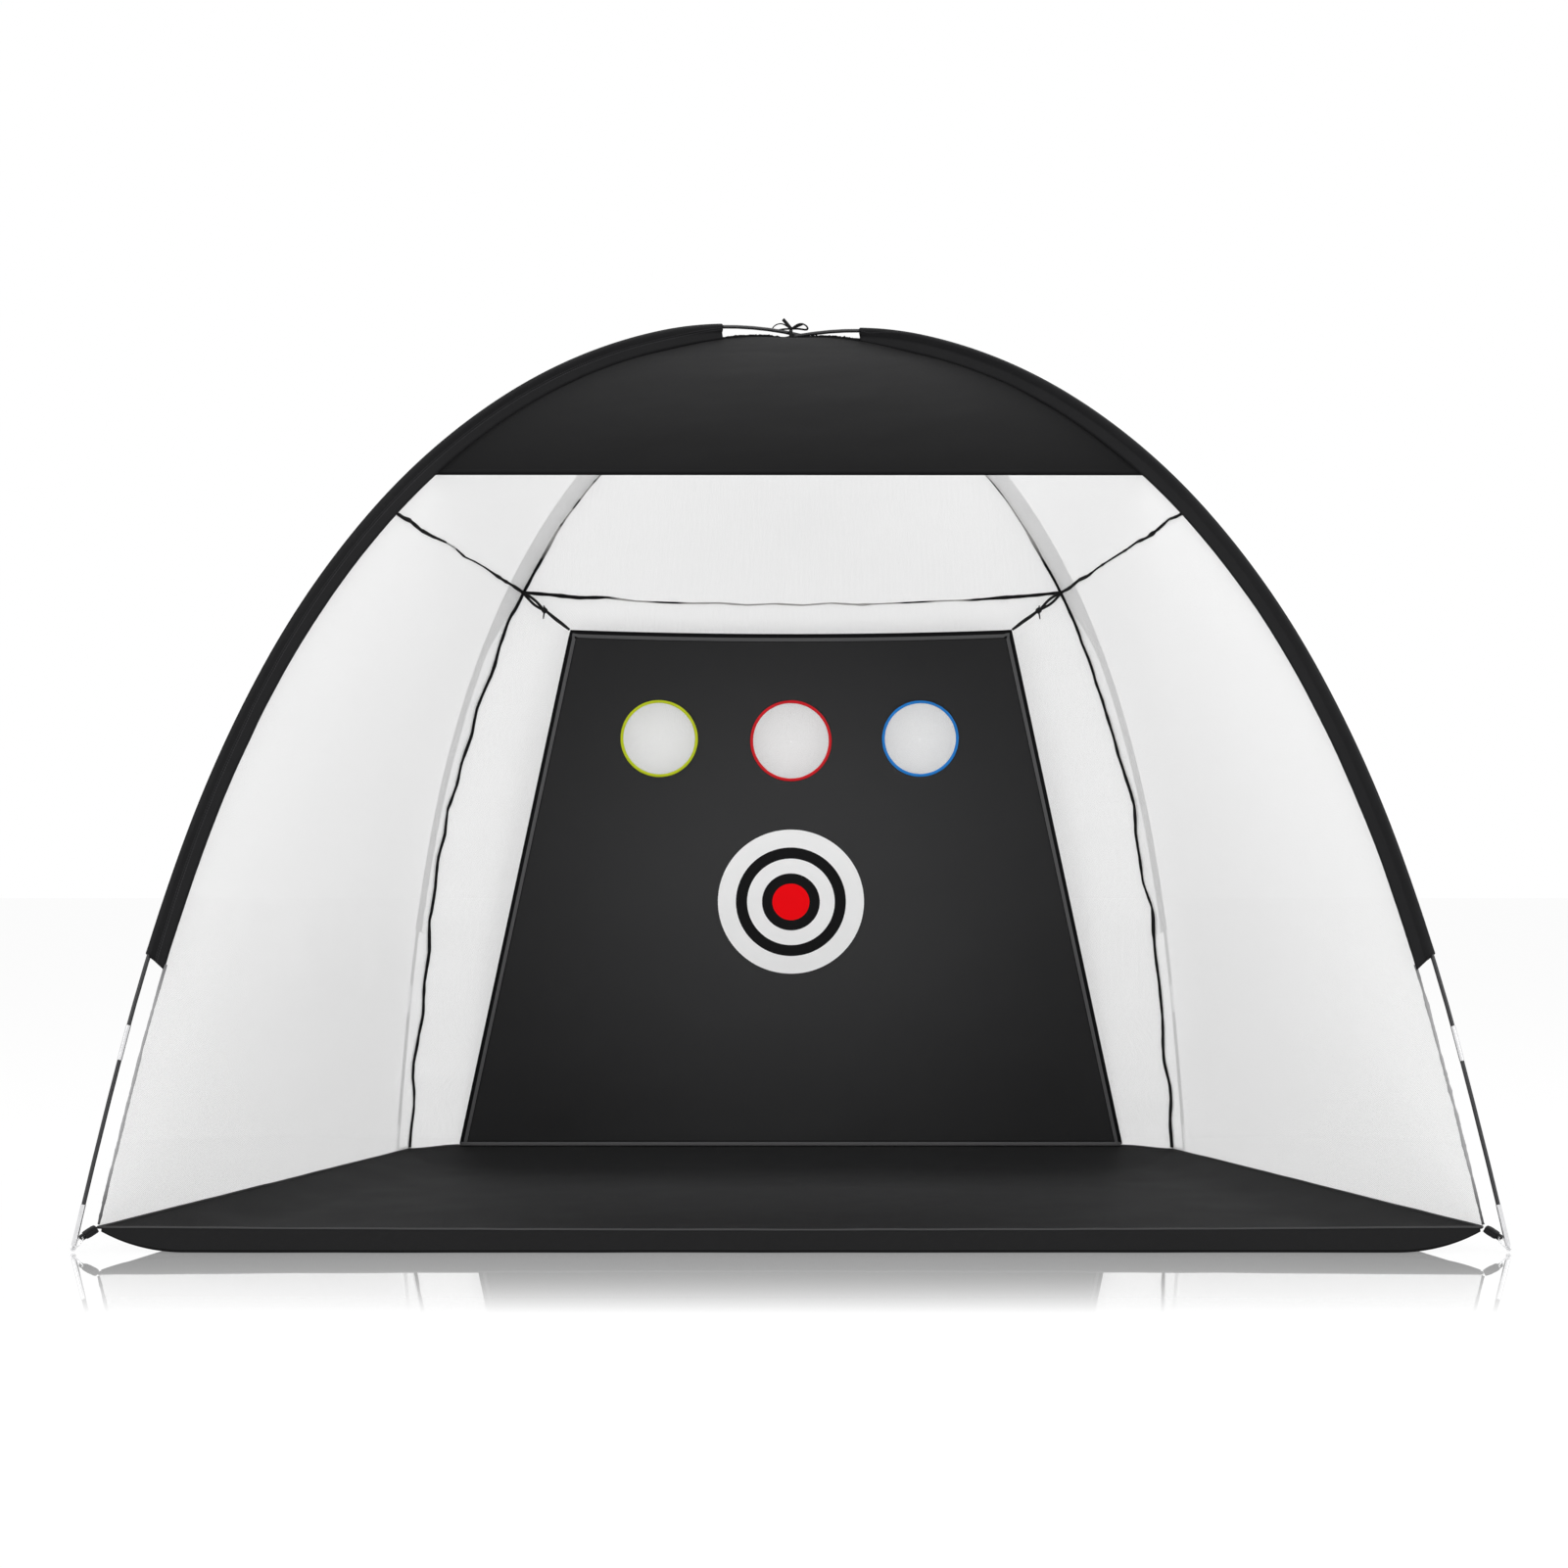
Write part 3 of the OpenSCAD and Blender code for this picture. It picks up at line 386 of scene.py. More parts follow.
class Finish:
    """A material in the making."""

    def __init__(self, name, colour, roughness, specular, metallic=0.0):
        self.paint = bpy.data.materials.new(name)
        self.paint.use_nodes = True
        self.tree = self.paint.node_tree
        self.shader = self.tree.nodes["Principled BSDF"]
        self.set(Base_Color=(*colour, 1), Roughness=roughness, Metallic=metallic, Specular_IOR_Level=specular)
        FINISHES[name] = self.paint

    def set(self, **values):
        for name, value in values.items():
            self.shader.inputs[name.replace("_", " ")].default_value = value

    def node(self, kind, settings=(), **inputs):
        made = self.tree.nodes.new("ShaderNode" + kind)
        for name, value in dict(settings).items():
            setattr(made, name, value)
        for name, value in inputs.items():
            key = int(name[1:]) if name[0] == "i" and name[1:].isdigit() else name.replace("_", " ")
            self.feed(made.inputs[key], value)
        return made

    def feed(self, socket, value):
        if isinstance(value, bpy.types.NodeSocket):
            self.tree.links.new(value, socket)
        else:
            socket.default_value = value

    def sum(self, operation, a, b=0.0):
        return self.node("Math", {"operation": operation}, i0=a, i1=b).outputs[0]

    def uv(self):
        return self.node("UVMap").outputs["UV"]

    def place(self):
        return self.node("TexCoord").outputs["Object"]

    def split(self, vector):
        parts = self.node("SeparateXYZ", Vector=vector)
        return [parts.outputs[axis] for axis in "XYZ"]

    def spot(self):
        """The object's own x, y and z."""
        return self.split(self.place())

    def surface(self, shader):
        self.tree.links.new(shader.outputs[0], self.tree.nodes["Material Output"].inputs["Surface"])

    def clouds(self, coords, scale, detail=3.0):
        made = self.node("TexNoise", Vector=coords, Scale=scale, Detail=detail, Roughness=0.55)
        return made.outputs["Fac"]

    def between(self, value, low, high, to_low, to_high, kind="LINEAR"):
        made = self.node("MapRange", {"interpolation_type": kind}, Value=value, From_Min=low, From_Max=high,
                         To_Min=to_low, To_Max=to_high)
        return made.outputs["Result"]

    def weigh(self, *parts):
        """The sum of values, each times its weight."""
        total = None
        for value, weight in parts:
            part = self.sum("MULTIPLY", value, weight)
            total = part if total is None else self.sum("ADD", total, part)
        return total

    def tint(self, share, dark, light):
        """Base colour from dark to light by a share."""
        made = self.node("Mix", {"data_type": "RGBA"})
        self.feed(made.inputs[0], share)
        made.inputs["A"].default_value = (*dark, 1)
        made.inputs["B"].default_value = (*light, 1)
        self.tree.links.new(made.outputs["Result"], self.shader.inputs["Base Color"])

    def base(self):
        """What feeds the base colour so far."""
        return self.shader.inputs["Base Color"].links[0].from_socket

    def over(self, under, share, colour):
        """A colour, or the output of a node, over another by a share."""
        made = self.node("Mix", {"data_type": "RGBA"})
        self.feed(made.inputs[0], share)
        self.feed(made.inputs["A"], under)
        self.feed(made.inputs["B"], (*colour, 1) if isinstance(colour, (tuple, list)) else colour)
        return made.outputs["Result"]

    def paint_over(self, share, colour):
        """Another base colour over the one so far, by a share."""
        painted = self.over(self.base(), share, colour)
        self.tree.links.new(painted, self.shader.inputs["Base Color"])

    def relief(self, height, depth, strength):
        bump = self.node("Bump", Height=height, Strength=strength, Distance=depth)
        self.tree.links.new(bump.outputs["Normal"], self.shader.inputs["Normal"])

    def weave(self, coords, pitch):
        """The height of a plain weave: threads over and under each other, pitch apart."""
        x, y, _ = self.split(coords)
        threads = []
        for wave, turn in (("SINE", math.pi / pitch), ("COSINE", 2 * math.pi / pitch)):
            waves = [self.sum(wave, self.sum("MULTIPLY", run, turn)) for run in (x, y)]
            threads.append(self.sum("MULTIPLY", *waves))
        return self.between(self.weigh((threads[0], 0.6), (threads[1], 0.4)), -1, 1, 0, 1)

    def stitches(self, coords, lines, along):
        """1 on dashes of thread that run along one direction at the given places."""
        x, y, _ = self.split(coords)
        run, side = (y, x) if along == "y" else (x, y)
        dash = self.sum("LESS_THAN", self.sum("FRACT", self.sum("DIVIDE", run, STITCH)), STITCH_SHARE)
        found = None
        for line in lines:
            near = self.sum("LESS_THAN", self.sum("ABSOLUTE", self.sum("SUBTRACT", side, line)), THREAD_HALF)
            found = near if found is None else self.sum("MAXIMUM", found, near)
        return self.sum("MULTIPLY", dash, found)


def woven(name, colour, roughness, pitch, specular, shade=0.18, lines=(), thread=None, along="y", hem=0.0):
    """Plain-woven cloth, with the wear and dust of use, rows of stitches, and a darker hem at its foot."""
    finish = Finish(name, colour, roughness, specular)
    coords = finish.uv()
    height = finish.weave(coords, pitch)
    blotch = finish.clouds(finish.place(), 7.0, 4.0)
    dust = finish.clouds(finish.place(), 160.0, 2.0)
    share = finish.weigh((height, 0.5), (blotch, 0.35), (dust, 0.15))
    finish.tint(share, [c * (1 - shade) for c in colour], [c * (1 + shade) for c in colour])
    if hem:
        edge = finish.sum("LESS_THAN", finish.split(coords)[1], hem)
        finish.paint_over(edge, [c * HEM_SHADE for c in colour])
    relief = height
    if lines:
        stitched = finish.stitches(coords, lines, along)
        finish.paint_over(stitched, thread)
        relief = finish.weigh((height, 0.6), (stitched, 1.4))
    finish.relief(relief, RELIEF, 0.6)
    rough = finish.between(blotch, 0.2, 0.8, roughness - 0.06, roughness + 0.08)
    finish.feed(finish.shader.inputs["Roughness"], rough)
    return finish


def net_finish(name, colour, thread_cover, hole_cover, through):
    """Knitted mesh: a triangular lattice of holes between fine white threads that let light through."""
    finish = Finish(name, colour, 0.85, 0.2)
    x, y, _ = finish.split(finish.uv())
    total = None
    for angle in (0, 60, 120):
        turn, way = 2 * math.pi / NET_PITCH * NET_LATTICE, math.radians(angle)
        wave = finish.sum("COSINE", finish.weigh((x, turn * math.cos(way)), (y, turn * math.sin(way))))
        total = wave if total is None else finish.sum("ADD", total, wave)
    open_share = finish.between(total, NET_HOLE - 0.5, NET_HOLE + 0.9, 0, 1)
    cover = finish.between(open_share, 0, 1, thread_cover, hole_cover)
    cloud = finish.clouds(finish.place(), 5.0, 3.0)
    finish.tint(cloud, [c * 0.96 for c in colour], colour)
    finish.relief(finish.between(total, -1.5, 3, 1, 0), 0.0003, 0.35)
    shine = finish.node("BsdfTranslucent", Color=(*colour, 1))
    threads = finish.node("MixShader", i0=through, i1=finish.shader.outputs[0], i2=shine.outputs[0])
    clear = finish.node("BsdfTransparent")
    finish.surface(finish.node("MixShader", i0=cover, i1=clear.outputs[0], i2=threads.outputs[0]))


def worn_tape(name):
    """Binding tape whose black is broken by the white mesh that it is folded over, above the ring seam."""
    finish = woven(name, SEAM_BLACK, 0.72, TAPE_PITCH, 0.15, shade=0.3)
    high = finish.between(finish.spot()[2], 1.06, 1.11, 0, 0.95, "SMOOTHSTEP")
    broken = finish.between(finish.clouds(finish.place(), 26.0, 2.0), 0.4, 0.46, 0, 1)
    finish.paint_over(finish.sum("MULTIPLY", high, broken), WORN_BARE)


def two_tone_tape(name, dark, grey):
    """The tape round the target: black along its outer edge, with a grey line inside."""
    finish = woven(name, dark, 0.75, EDGE_PITCH, 0.08, shade=0.2)
    across = finish.split(finish.uv())[0]
    off = finish.sum("ABSOLUTE", finish.sum("SUBTRACT", across, TAPE_GREY_AT))
    finish.paint_over(finish.sum("LESS_THAN", off, TAPE_GREY / 2), grey)


def front_tape(name, pale, dark):
    """The thin edge of the side nets, darker by the corner and by the sleeve."""
    finish = woven(name, pale, 0.75, TAPE_PITCH, 0.2, shade=0.2)
    height = finish.spot()[2]
    low = finish.between(height, 0.03, 0.12, 1, 0)
    high = finish.between(height, 0.34, 0.41, 0, 0.7)
    finish.paint_over(finish.sum("MAXIMUM", low, high), dark)


def header_finish():
    """The header's cloth, with painted shade: darker toward its hem, which faces away from the light, and
    paler toward the crown where it lies in the light.
    """
    finish = woven("header_cloth", (0.0205, 0.0205, 0.021), 0.78, 0.0011, 0.06, lines=(0.0095,), along="x",
                   thread=(0.03, 0.03, 0.031), hem=0.0045)
    # painted shade: the colour darkens from the crown down to the hem
    finish.paint_over(finish.between(finish.spot()[2], 1.12, 1.34, 0.72, 0), (0.004, 0.004, 0.0042))


def ground_finish():
    """The ground sheet's cloth, paler in its middle: a painted sheen, which stands in for the light that the
    cloth catches there.
    """
    finish = woven("ground_cloth", (0.0165, 0.0165, 0.017), 0.74, 0.0013, 0.09, shade=0.15)
    x, y, _ = finish.spot()
    beside = finish.sum("ABSOLUTE", x)
    before = finish.sum("ABSOLUTE", finish.sum("SUBTRACT", y, 0.13))
    # painted sheen: a paler patch in the middle of the sheet, standing in for the light that falls on it
    # there
    painted_sheen = finish.sum("MULTIPLY", finish.between(beside, 0.2, 0.85, 1, 0),
                      finish.between(before, 0, 0.36, 1, 0))
    finish.paint_over(painted_sheen, (0.036, 0.036, 0.037))


def ring_tape(name):
    """The ring seam's tape, worn to the pale mesh in the middle of its rear run and at each side of it."""
    finish = woven(name, SEAM_BLACK, 0.72, TAPE_PITCH, 0.12, shade=0.3)
    off = finish.sum("ABSOLUTE", finish.spot()[0])
    middle = finish.between(off, 0.18, 0.2, 1, 0)
    beside = finish.sum("MULTIPLY", finish.between(off, 0.235, 0.255, 0, 1),
                        finish.between(off, 0.3, 0.32, 1, 0))
    finish.paint_over(finish.sum("MAXIMUM", middle, beside), WORN_BARE)


# name: colour, roughness, pitch of the weave, specular level, shade
PLAIN_CLOTHS = {
    "crown_tape": (SEAM_BLACK, 0.74, TAPE_PITCH, 0.1, 0.3),
    "grey_piping": ((0.045, 0.045, 0.046), 0.7, TAPE_PITCH, 0.2, 0.2),
    "bow_ribbon": (SEAM_BLACK, 0.6, TAPE_PITCH, 0.2, 0.3),
    "webbing": ((0.006, 0.006, 0.0065), 0.68, 0.0016, 0.2, 0.3),
    "elastic": ((0.006, 0.006, 0.0065), 0.62, 0.0010, 0.2, 0.3),
    "green_tape": ((0.52, 0.6, 0.01), 0.6, EDGE_PITCH, 0.25, 0.15),
    "red_tape": ((0.62, 0.005, 0.012), 0.6, EDGE_PITCH, 0.25, 0.15),
    "blue_tape": ((0.01, 0.2, 0.62), 0.6, EDGE_PITCH, 0.25, 0.15),
}


def rod_finish():
    """Dark pultruded fibreglass, streaked along its length."""
    rod = Finish("rod_fibreglass", (0.012, 0.012, 0.013), 0.34, 0.5)
    streaks = rod.node("Mapping", Vector=rod.place(), Scale=(60, 60, 6))
    grain = rod.clouds(streaks.outputs["Vector"], 9.0, 5.0)
    rod.tint(grain, (0.008, 0.008, 0.009), (0.022, 0.022, 0.024))
    rod.feed(rod.shader.inputs["Roughness"], rod.between(grain, 0.2, 0.8, 0.28, 0.46))
    rod.relief(grain, 0.0001, 0.4)


def steel_finish():
    """Bright plated steel with drawing marks."""
    steel = Finish("bright_steel", (0.72, 0.72, 0.73), 0.24, 0.5, 1.0)
    drawn = steel.node("Mapping", Vector=steel.place(), Scale=(300, 300, 14))
    scratch = steel.clouds(drawn.outputs["Vector"], 6.0, 6.0)
    steel.tint(steel.clouds(steel.place(), 90.0), (0.6, 0.6, 0.61), (0.82, 0.82, 0.83))
    steel.feed(steel.shader.inputs["Roughness"], steel.between(scratch, 0.2, 0.8, 0.16, 0.36))
    steel.relief(scratch, 0.00005, 0.35)


def cord_finish():
    """The pale braid of the shock cords."""
    braid = Finish("shock_cord_braid", (0.7, 0.7, 0.68), 0.8, 0.2)
    height = braid.weave(braid.uv(), EDGE_PITCH)
    braid.tint(height, (0.5, 0.5, 0.48), (0.8, 0.8, 0.78))
    braid.relief(height, 0.0003, 0.8)


def make_finishes():
    """All materials, by name in FINISHES."""
    rod_finish()
    steel_finish()
    cord_finish()
    for name, (colour, roughness, pitch, specular, shade) in PLAIN_CLOTHS.items():
        woven(name, colour, roughness, pitch, specular, shade)
    woven("sleeve_cloth", (0.0095, 0.0095, 0.0102), 0.68, 0.0010, 0.14, shade=0.2,
          lines=(0.0155, 0.0188, 0.0392), thread=(0.03, 0.03, 0.032))
    woven("skirt_cloth", (0.0108, 0.0108, 0.0112), 0.74, 0.0013, 0.07, shade=0.15, hem=0.0035)
    header_finish()
    ground_finish()
    worn_tape("seam_tape")
    ring_tape("ring_tape")
    two_tone_tape("target_tape", (0.005, 0.005, 0.0055), (0.095, 0.095, 0.097))
    front_tape("edge_tape", (0.33, 0.33, 0.335), (0.05, 0.05, 0.052))
    net_finish("net_mesh", (0.93, 0.93, 0.93), 0.94, 0.26, 0.4)
    net_finish("pocket_mesh", (0.99, 0.99, 0.99), 0.64, 0.14, 0.65)
    target_finish()


TAPE_HALF = 0.007
TAPE_GREY_AT, TAPE_GREY = 0.0115, 0.0062
BULLSEYE_UP = 445.2 * MM
TARGET_BLACK, INK_RAGGED = (0.024, 0.024, 0.0247), 0.0003
INK_RED, INK_BLACK, INK_WHITE = (0.98, 0.0, 0.004), (0.007, 0.007, 0.0075), (0.98, 0.98, 0.98)
RINGS = ((66, INK_RED), (103, INK_BLACK), (156, INK_WHITE), (196, INK_BLACK), (260, INK_WHITE))


def target_finish():
    """Black cloth with a printed bullseye, whose ink dulls the weave a little, and a painted pool of light
    that makes the cloth paler round the bullseye.
    """
    finish = Finish("target_cloth", TARGET_BLACK, 0.78, 0.07)
    coords = finish.uv()
    x, y, _ = finish.split(coords)
    rise = finish.sum("SUBTRACT", y, BULLSEYE_UP)
    away = finish.sum("SQRT", finish.sum("ADD", *[finish.sum("MULTIPLY", run, run) for run in (x, rise)]))
    ragged = finish.between(finish.clouds(finish.place(), 900.0, 1.0), 0, 1, -INK_RAGGED, INK_RAGGED)
    edge = finish.sum("ADD", away, ragged)
    height = finish.weave(coords, 0.0012)
    blotch = finish.clouds(finish.place(), 6.0, 4.0)
    finish.tint(finish.weigh((height, 0.5), (blotch, 0.5)), [c * 0.86 for c in TARGET_BLACK],
                [c * 1.16 for c in TARGET_BLACK])
    # painted light: a paler pool round the bullseye, fading out to the cloth's black
    finish.paint_over(finish.between(away, 0.12, 0.62, 1, 0, "SMOOTHSTEP"), (0.041, 0.041, 0.042))
    cloth = finish.base()
    for wide, colour in reversed(RINGS):
        ink = finish.over(cloth, finish.between(height, 0, 1, 0.955, 1), colour)
        finish.paint_over(finish.sum("LESS_THAN", edge, wide / 2 * MM), ink)
    printed = finish.sum("LESS_THAN", edge, RINGS[-1][0] / 2 * MM)
    finish.feed(finish.shader.inputs["Roughness"], finish.between(printed, 0, 1, 0.72, 0.55))
    finish.relief(height, RELIEF, 0.5)


# ---- the bent poles, as in the part's source -------------------------------------------------
FRONT_W, REAR_W, DEPTH = 2.0, 1.432, 1.0
TOP_Z, FOOT_Z = 1.41, 0.008
ROD_D, CROSS_PLAY = 0.006, 0.0006
ROD_COUNT, LEVEL_SHARE, FRONT_BEND, REAR_BEND = 13, 0.525, 0.925, 0.81
SEAM_OFF, SEAM_R, SEWN_GAP, RIBBON_W = 0.027, 0.0015, 0.0003, 0.006
BARE_TOP, SLEEVE_LOW = 0.131, (0.405, 0.405, 0.415, 0.415)
CORNER_Z = (0.031, 0.031, 0.022, 0.022)
RING_Z = (1.064, 1.064, 1.016, 1.016)
RING_SAG, HEADER_Z = 0.022, 1.127
PIPING_R, SKIRT_OUT, CLOTH_T = 0.0022, 0.034, 0.0012
THIN_CLOTH = 0.0009
FRONT_LEANS, REAR_LEANS = (60, 100), (60, 110)
LEVEL_AT = ROD_COUNT * LEVEL_SHARE
PLAN_LEN = math.hypot((FRONT_W + REAR_W) / 2, DEPTH)
FRONT_SHARE = FRONT_W / (FRONT_W + REAR_W)
FRONT_RUN = PLAN_LEN * FRONT_SHARE
REAR_RUN = PLAN_LEN - FRONT_RUN


def halving(low, high, too_low, times=40):
    """The place between low and high where too_low turns false."""
    for _ in range(times):
        middle = (low + high) / 2
        if too_low(middle):
            low = middle
        else:
            high = middle
    return (low + high) / 2


class Pole:
    """A chain of evenly bent sections, level near the crossing and leaning at its feet."""

    def __init__(self, high):
        def share(front):
            self.set_leans(front, self.rear_for(front))
            return self.rise_at_run(self.joints[-1][0] * FRONT_SHARE) / self.joints[-1][0]
        wanted = (high - FOOT_Z) / PLAN_LEN
        front = halving(*FRONT_LEANS, lambda lean: share(lean) < wanted)
        share(front)
        self.section = PLAN_LEN / self.joints[-1][0]
        self.length = ROD_COUNT * self.section
        self.crossing = self.find_run(self.joints[-1][0] * FRONT_SHARE) * self.section

    def joint_slope(self, k):
        if k < LEVEL_AT:
            return self.leans[0] * math.sin(math.pi / 2 * (1 - k / LEVEL_AT) ** FRONT_BEND)
        return -self.leans[1] * math.sin(math.pi / 2 * ((k - LEVEL_AT) / (ROD_COUNT - LEVEL_AT)) ** REAR_BEND)

    @staticmethod
    def bow(a, b):
        turn = math.radians(a - b) / 2
        reach = math.sin(turn) / turn if turn else 1
        middle = math.radians(a + b) / 2
        return math.cos(middle) * reach, math.sin(middle) * reach

    def set_leans(self, front, rear):
        self.leans = (front, rear)
        self.joints = [(0.0, 0.0)]
        for k in range(ROD_COUNT):
            step = self.bow(self.joint_slope(k), self.joint_slope(k + 1))
            self.joints.append((self.joints[-1][0] + step[0], self.joints[-1][1] + step[1]))

    def rear_for(self, front):
        def ends_high(rear):
            self.set_leans(front, rear)
            return self.joints[-1][1] > 0
        return halving(*REAR_LEANS, ends_high)

    def slope_at(self, s):
        k = min(ROD_COUNT - 1, int(s))
        return mix(self.joint_slope(k), self.joint_slope(k + 1), s - k)

    def place_at(self, s):
        k = min(ROD_COUNT - 1, int(s))
        step = self.bow(self.joint_slope(k), self.slope_at(s))
        return self.joints[k][0] + step[0] * (s - k), self.joints[k][1] + step[1] * (s - k)

    def find_run(self, run):
        return halving(0, ROD_COUNT, lambda s: self.place_at(s)[0] < run)

    def rise_at_run(self, run):
        return self.place_at(self.find_run(run))[1]

    def in_plane(self, s):
        run, rise = self.place_at(s / self.section)
        return run * self.section - FRONT_RUN, rise * self.section + FOOT_Z


UPPER = Pole(TOP_Z)
LOWER = Pole(TOP_Z - ROD_D - CROSS_PLAY)
CROWN_Z = TOP_Z - ROD_D - CROSS_PLAY - ROD_D / 2 - SEAM_R - CROSS_PLAY
TOP_CLOSE, CROWN_HEM = 0.25, 0.007
cross_y = 0.0


class HalfPole:
    """One pole from the crossing, u = 0, to a foot, u = 1."""

    def __init__(self, pole, away, high):
        self.pole, self.away, self.high = pole, away, high
        self.front = away[1] < 0
        self.lean = pole.leans[0 if self.front else 1]
        self.length = pole.crossing if self.front else pole.length - pole.crossing

    def along(self, u):
        return self.pole.crossing + (-u if self.front else u) * self.length

    def slope(self, u):
        return (1 if self.front else -1) * self.pole.slope_at(self.along(u) / self.pole.section)

    def inward(self, u):
        a = math.radians(self.slope(u))
        return Vector((-self.away[0] * math.sin(a), -self.away[1] * math.sin(a), -math.cos(a)))

    def sideways(self):
        return Vector((-self.away[1], self.away[0], 0))

    def at(self, u):
        run, high = self.pole.in_plane(self.along(u))
        return Vector((self.away[0] * abs(run), self.away[1] * abs(run) + cross_y, high))

    def seam_gap(self, u):
        return mix(self.high - CROWN_Z, SEAM_OFF, smooth(u * self.length / TOP_CLOSE))

    def seam(self, u):
        return self.at(u) + self.inward(u) * self.seam_gap(u)

    def find(self, z, off):
        return halving(0, 1, lambda u: self.at(u).z - off * math.cos(math.radians(self.slope(u))) > z)


AWAY_FRONT = (-FRONT_W / 2 / FRONT_RUN, -DEPTH * FRONT_SHARE / FRONT_RUN)
AWAY_REAR = (REAR_W / 2 / REAR_RUN, DEPTH * (1 - FRONT_SHARE) / REAR_RUN)
LOW_TOP = TOP_Z - ROD_D - CROSS_PLAY
HALVES = (HalfPole(UPPER, AWAY_FRONT, TOP_Z), HalfPole(LOWER, (-AWAY_FRONT[0], AWAY_FRONT[1]), LOW_TOP),
          HalfPole(LOWER, (-AWAY_REAR[0], AWAY_REAR[1]), LOW_TOP), HalfPole(UPPER, AWAY_REAR, TOP_Z))
rear_most = max(HALVES[3].at(0.7 + 0.02 * k).y for k in range(16)) + ROD_D / 2
front_most = (-DEPTH * FRONT_SHARE + SEAM_OFF * abs(AWAY_FRONT[1]) * math.sin(math.radians(HALVES[0].lean))
              - SKIRT_OUT - CLOTH_T)
cross_y = -(rear_most + front_most) / 2
U_TOP = [BARE_TOP / h.length for h in HALVES]
U_CORNER = [h.find(z, SEAM_OFF) for h, z in zip(HALVES, CORNER_Z)]
U_RING = [h.find(z, SEAM_OFF) for h, z in zip(HALVES, RING_Z)]
U_LOW = [h.find(z, 0) for h, z in zip(HALVES, SLEEVE_LOW)]
U_HEADER = [h.find(HEADER_Z, SEAM_OFF) for h in HALVES]
SEAM_END = (RIBBON_W / 2 + SEWN_GAP + SEAM_R) / abs(AWAY_FRONT[0])
U_CROWN = [(SEAM_END + CROWN_HEM) / h.length for h in HALVES]
CORNER = [h.seam(u) for h, u in zip(HALVES, U_CORNER)]
RING = [h.seam(u) for h, u in zip(HALVES, U_RING)]

# how far a seam wanders between its stitches: a smooth wander sideways, and kinks sideways and inward,
# each a length along the seam and an amount
WANDER, KINK, PULL = (0.085, 0.002), (0.058, 0.0085), (0.047, 0.0055)
FRONT_WANDER, UPPER_WANDER, RING_CALM = 0.08, 0.3, 0.07


def sewn(i, u):
    """A seam's line, which wanders a little, and is true at its ends and at the ring seam."""
    h = HALVES[i]
    s = u * h.length
    calm = smooth(min(s - 0.02, (1 - u) * h.length - 0.04) / 0.08)
    calm *= smooth(abs(u - U_RING[i]) * h.length / RING_CALM) * (1 if u > U_RING[i] else UPPER_WANDER)
    if h.front:
        calm *= FRONT_WANDER
    wander = drift(s, i + 1, WANDER[0]) * WANDER[1] + kink(s, i + 11, KINK[0]) * KINK[1]
    pull = kink(s, i + 31, PULL[0]) * PULL[1]
    return h.seam(u) + (h.sideways() * wander + h.inward(u) * pull) * calm


# ---- the net panels and the header -----------------------------------------------------------
NET_CALM, NET_TALL, NET_MIDDLE, SEWN_FADE = 0.12, 1.1, 0.5, 10
REAR_LIFT, LIFT_FLAT, STRIP_HEM = 0.0068, 0.6, 0.0012


def stretch(ia, ib, low, high, a, v, row, hollow=0.006, wave=0.0012):
    """A point of a panel sewn between half poles ia and ib: drawn in by its tension, a little uneven."""
    ua, ub = mix(low[ia], high[ia], v), mix(low[ib], high[ib], v)
    true_a, true_b = HALVES[ia].seam(ua), HALVES[ib].seam(ub)
    p = mix(true_a, true_b, a)
    p += (sewn(ia, ua) - true_a) * (1 - a) ** SEWN_FADE + (sewn(ib, ub) - true_b) * a ** SEWN_FADE
    wide = (true_b - true_a).length
    across = (true_b - true_a).normalized()
    up = (HALVES[ia].seam(ua - 0.01) - HALVES[ia].seam(ua + 0.01)).normalized()
    out = across.cross(up).normalized()
    if out.dot(p - Vector((0, cross_y, NET_MIDDLE))) < 0:
        out = -out
    calm = smooth(min(a, 1 - a) * wide / NET_CALM) * smooth(min(v, 1 - v) / NET_CALM)
    p -= out * (hollow * arch(a) * arch(v))
    x, y = a * wide, v * NET_TALL
    p += out * (crease(x, y, row, 0.16) * wave + crease(x, y, row + 9, 0.05) * wave * 0.3) * calm
    return p


def rear_lift(x):
    """How far the rear edge of the floor and of the net is drawn up between its corners."""
    return REAR_LIFT * smooth((CORNER[3].x - abs(x)) / (CORNER[3].x - LIFT_FLAT))


def sleeve_mesh(i, a, v):
    """The strip of mesh between a rear seam and its sleeve, whose edge is sewn into the sleeve's."""
    h = HALVES[i]
    u = mix(U_LOW[i], U_RING[i], v)
    edge = mix(h.seam_gap(u), SNUG_EDGE, snug(i, u)) - STRIP_HEM
    near = h.at(u) + h.inward(u) * edge + h.sideways() * sleeve_swing(i, u, edge)
    near += (sewn(i, u) - h.seam(u)) * smooth((edge - THROAT_SOFT) / THROAT_SOFT)
    return mix(near, sewn(i, u), a)


def sleeve_swing(i, u, x):
    """How far a sleeve's free side hangs out of its pole's plane, at a distance x from the pole."""
    s = u * HALVES[i].length
    free = smooth((x + SLEEVE_R) / THROAT_SOFT)
    pucker = crease(s * 3, x * 1.2, i + 70, 0.02) * 0.0006 * free
    return pucker + drift(s, i + 90, 0.12) * 0.0012 * free * (1 - 0.7 * snug(i, u))


def hang_net(piece, node, sleeve):
    dress(piece, "net_mesh", stands_for=(node,))
    declare(piece, "stretched", sleeve)


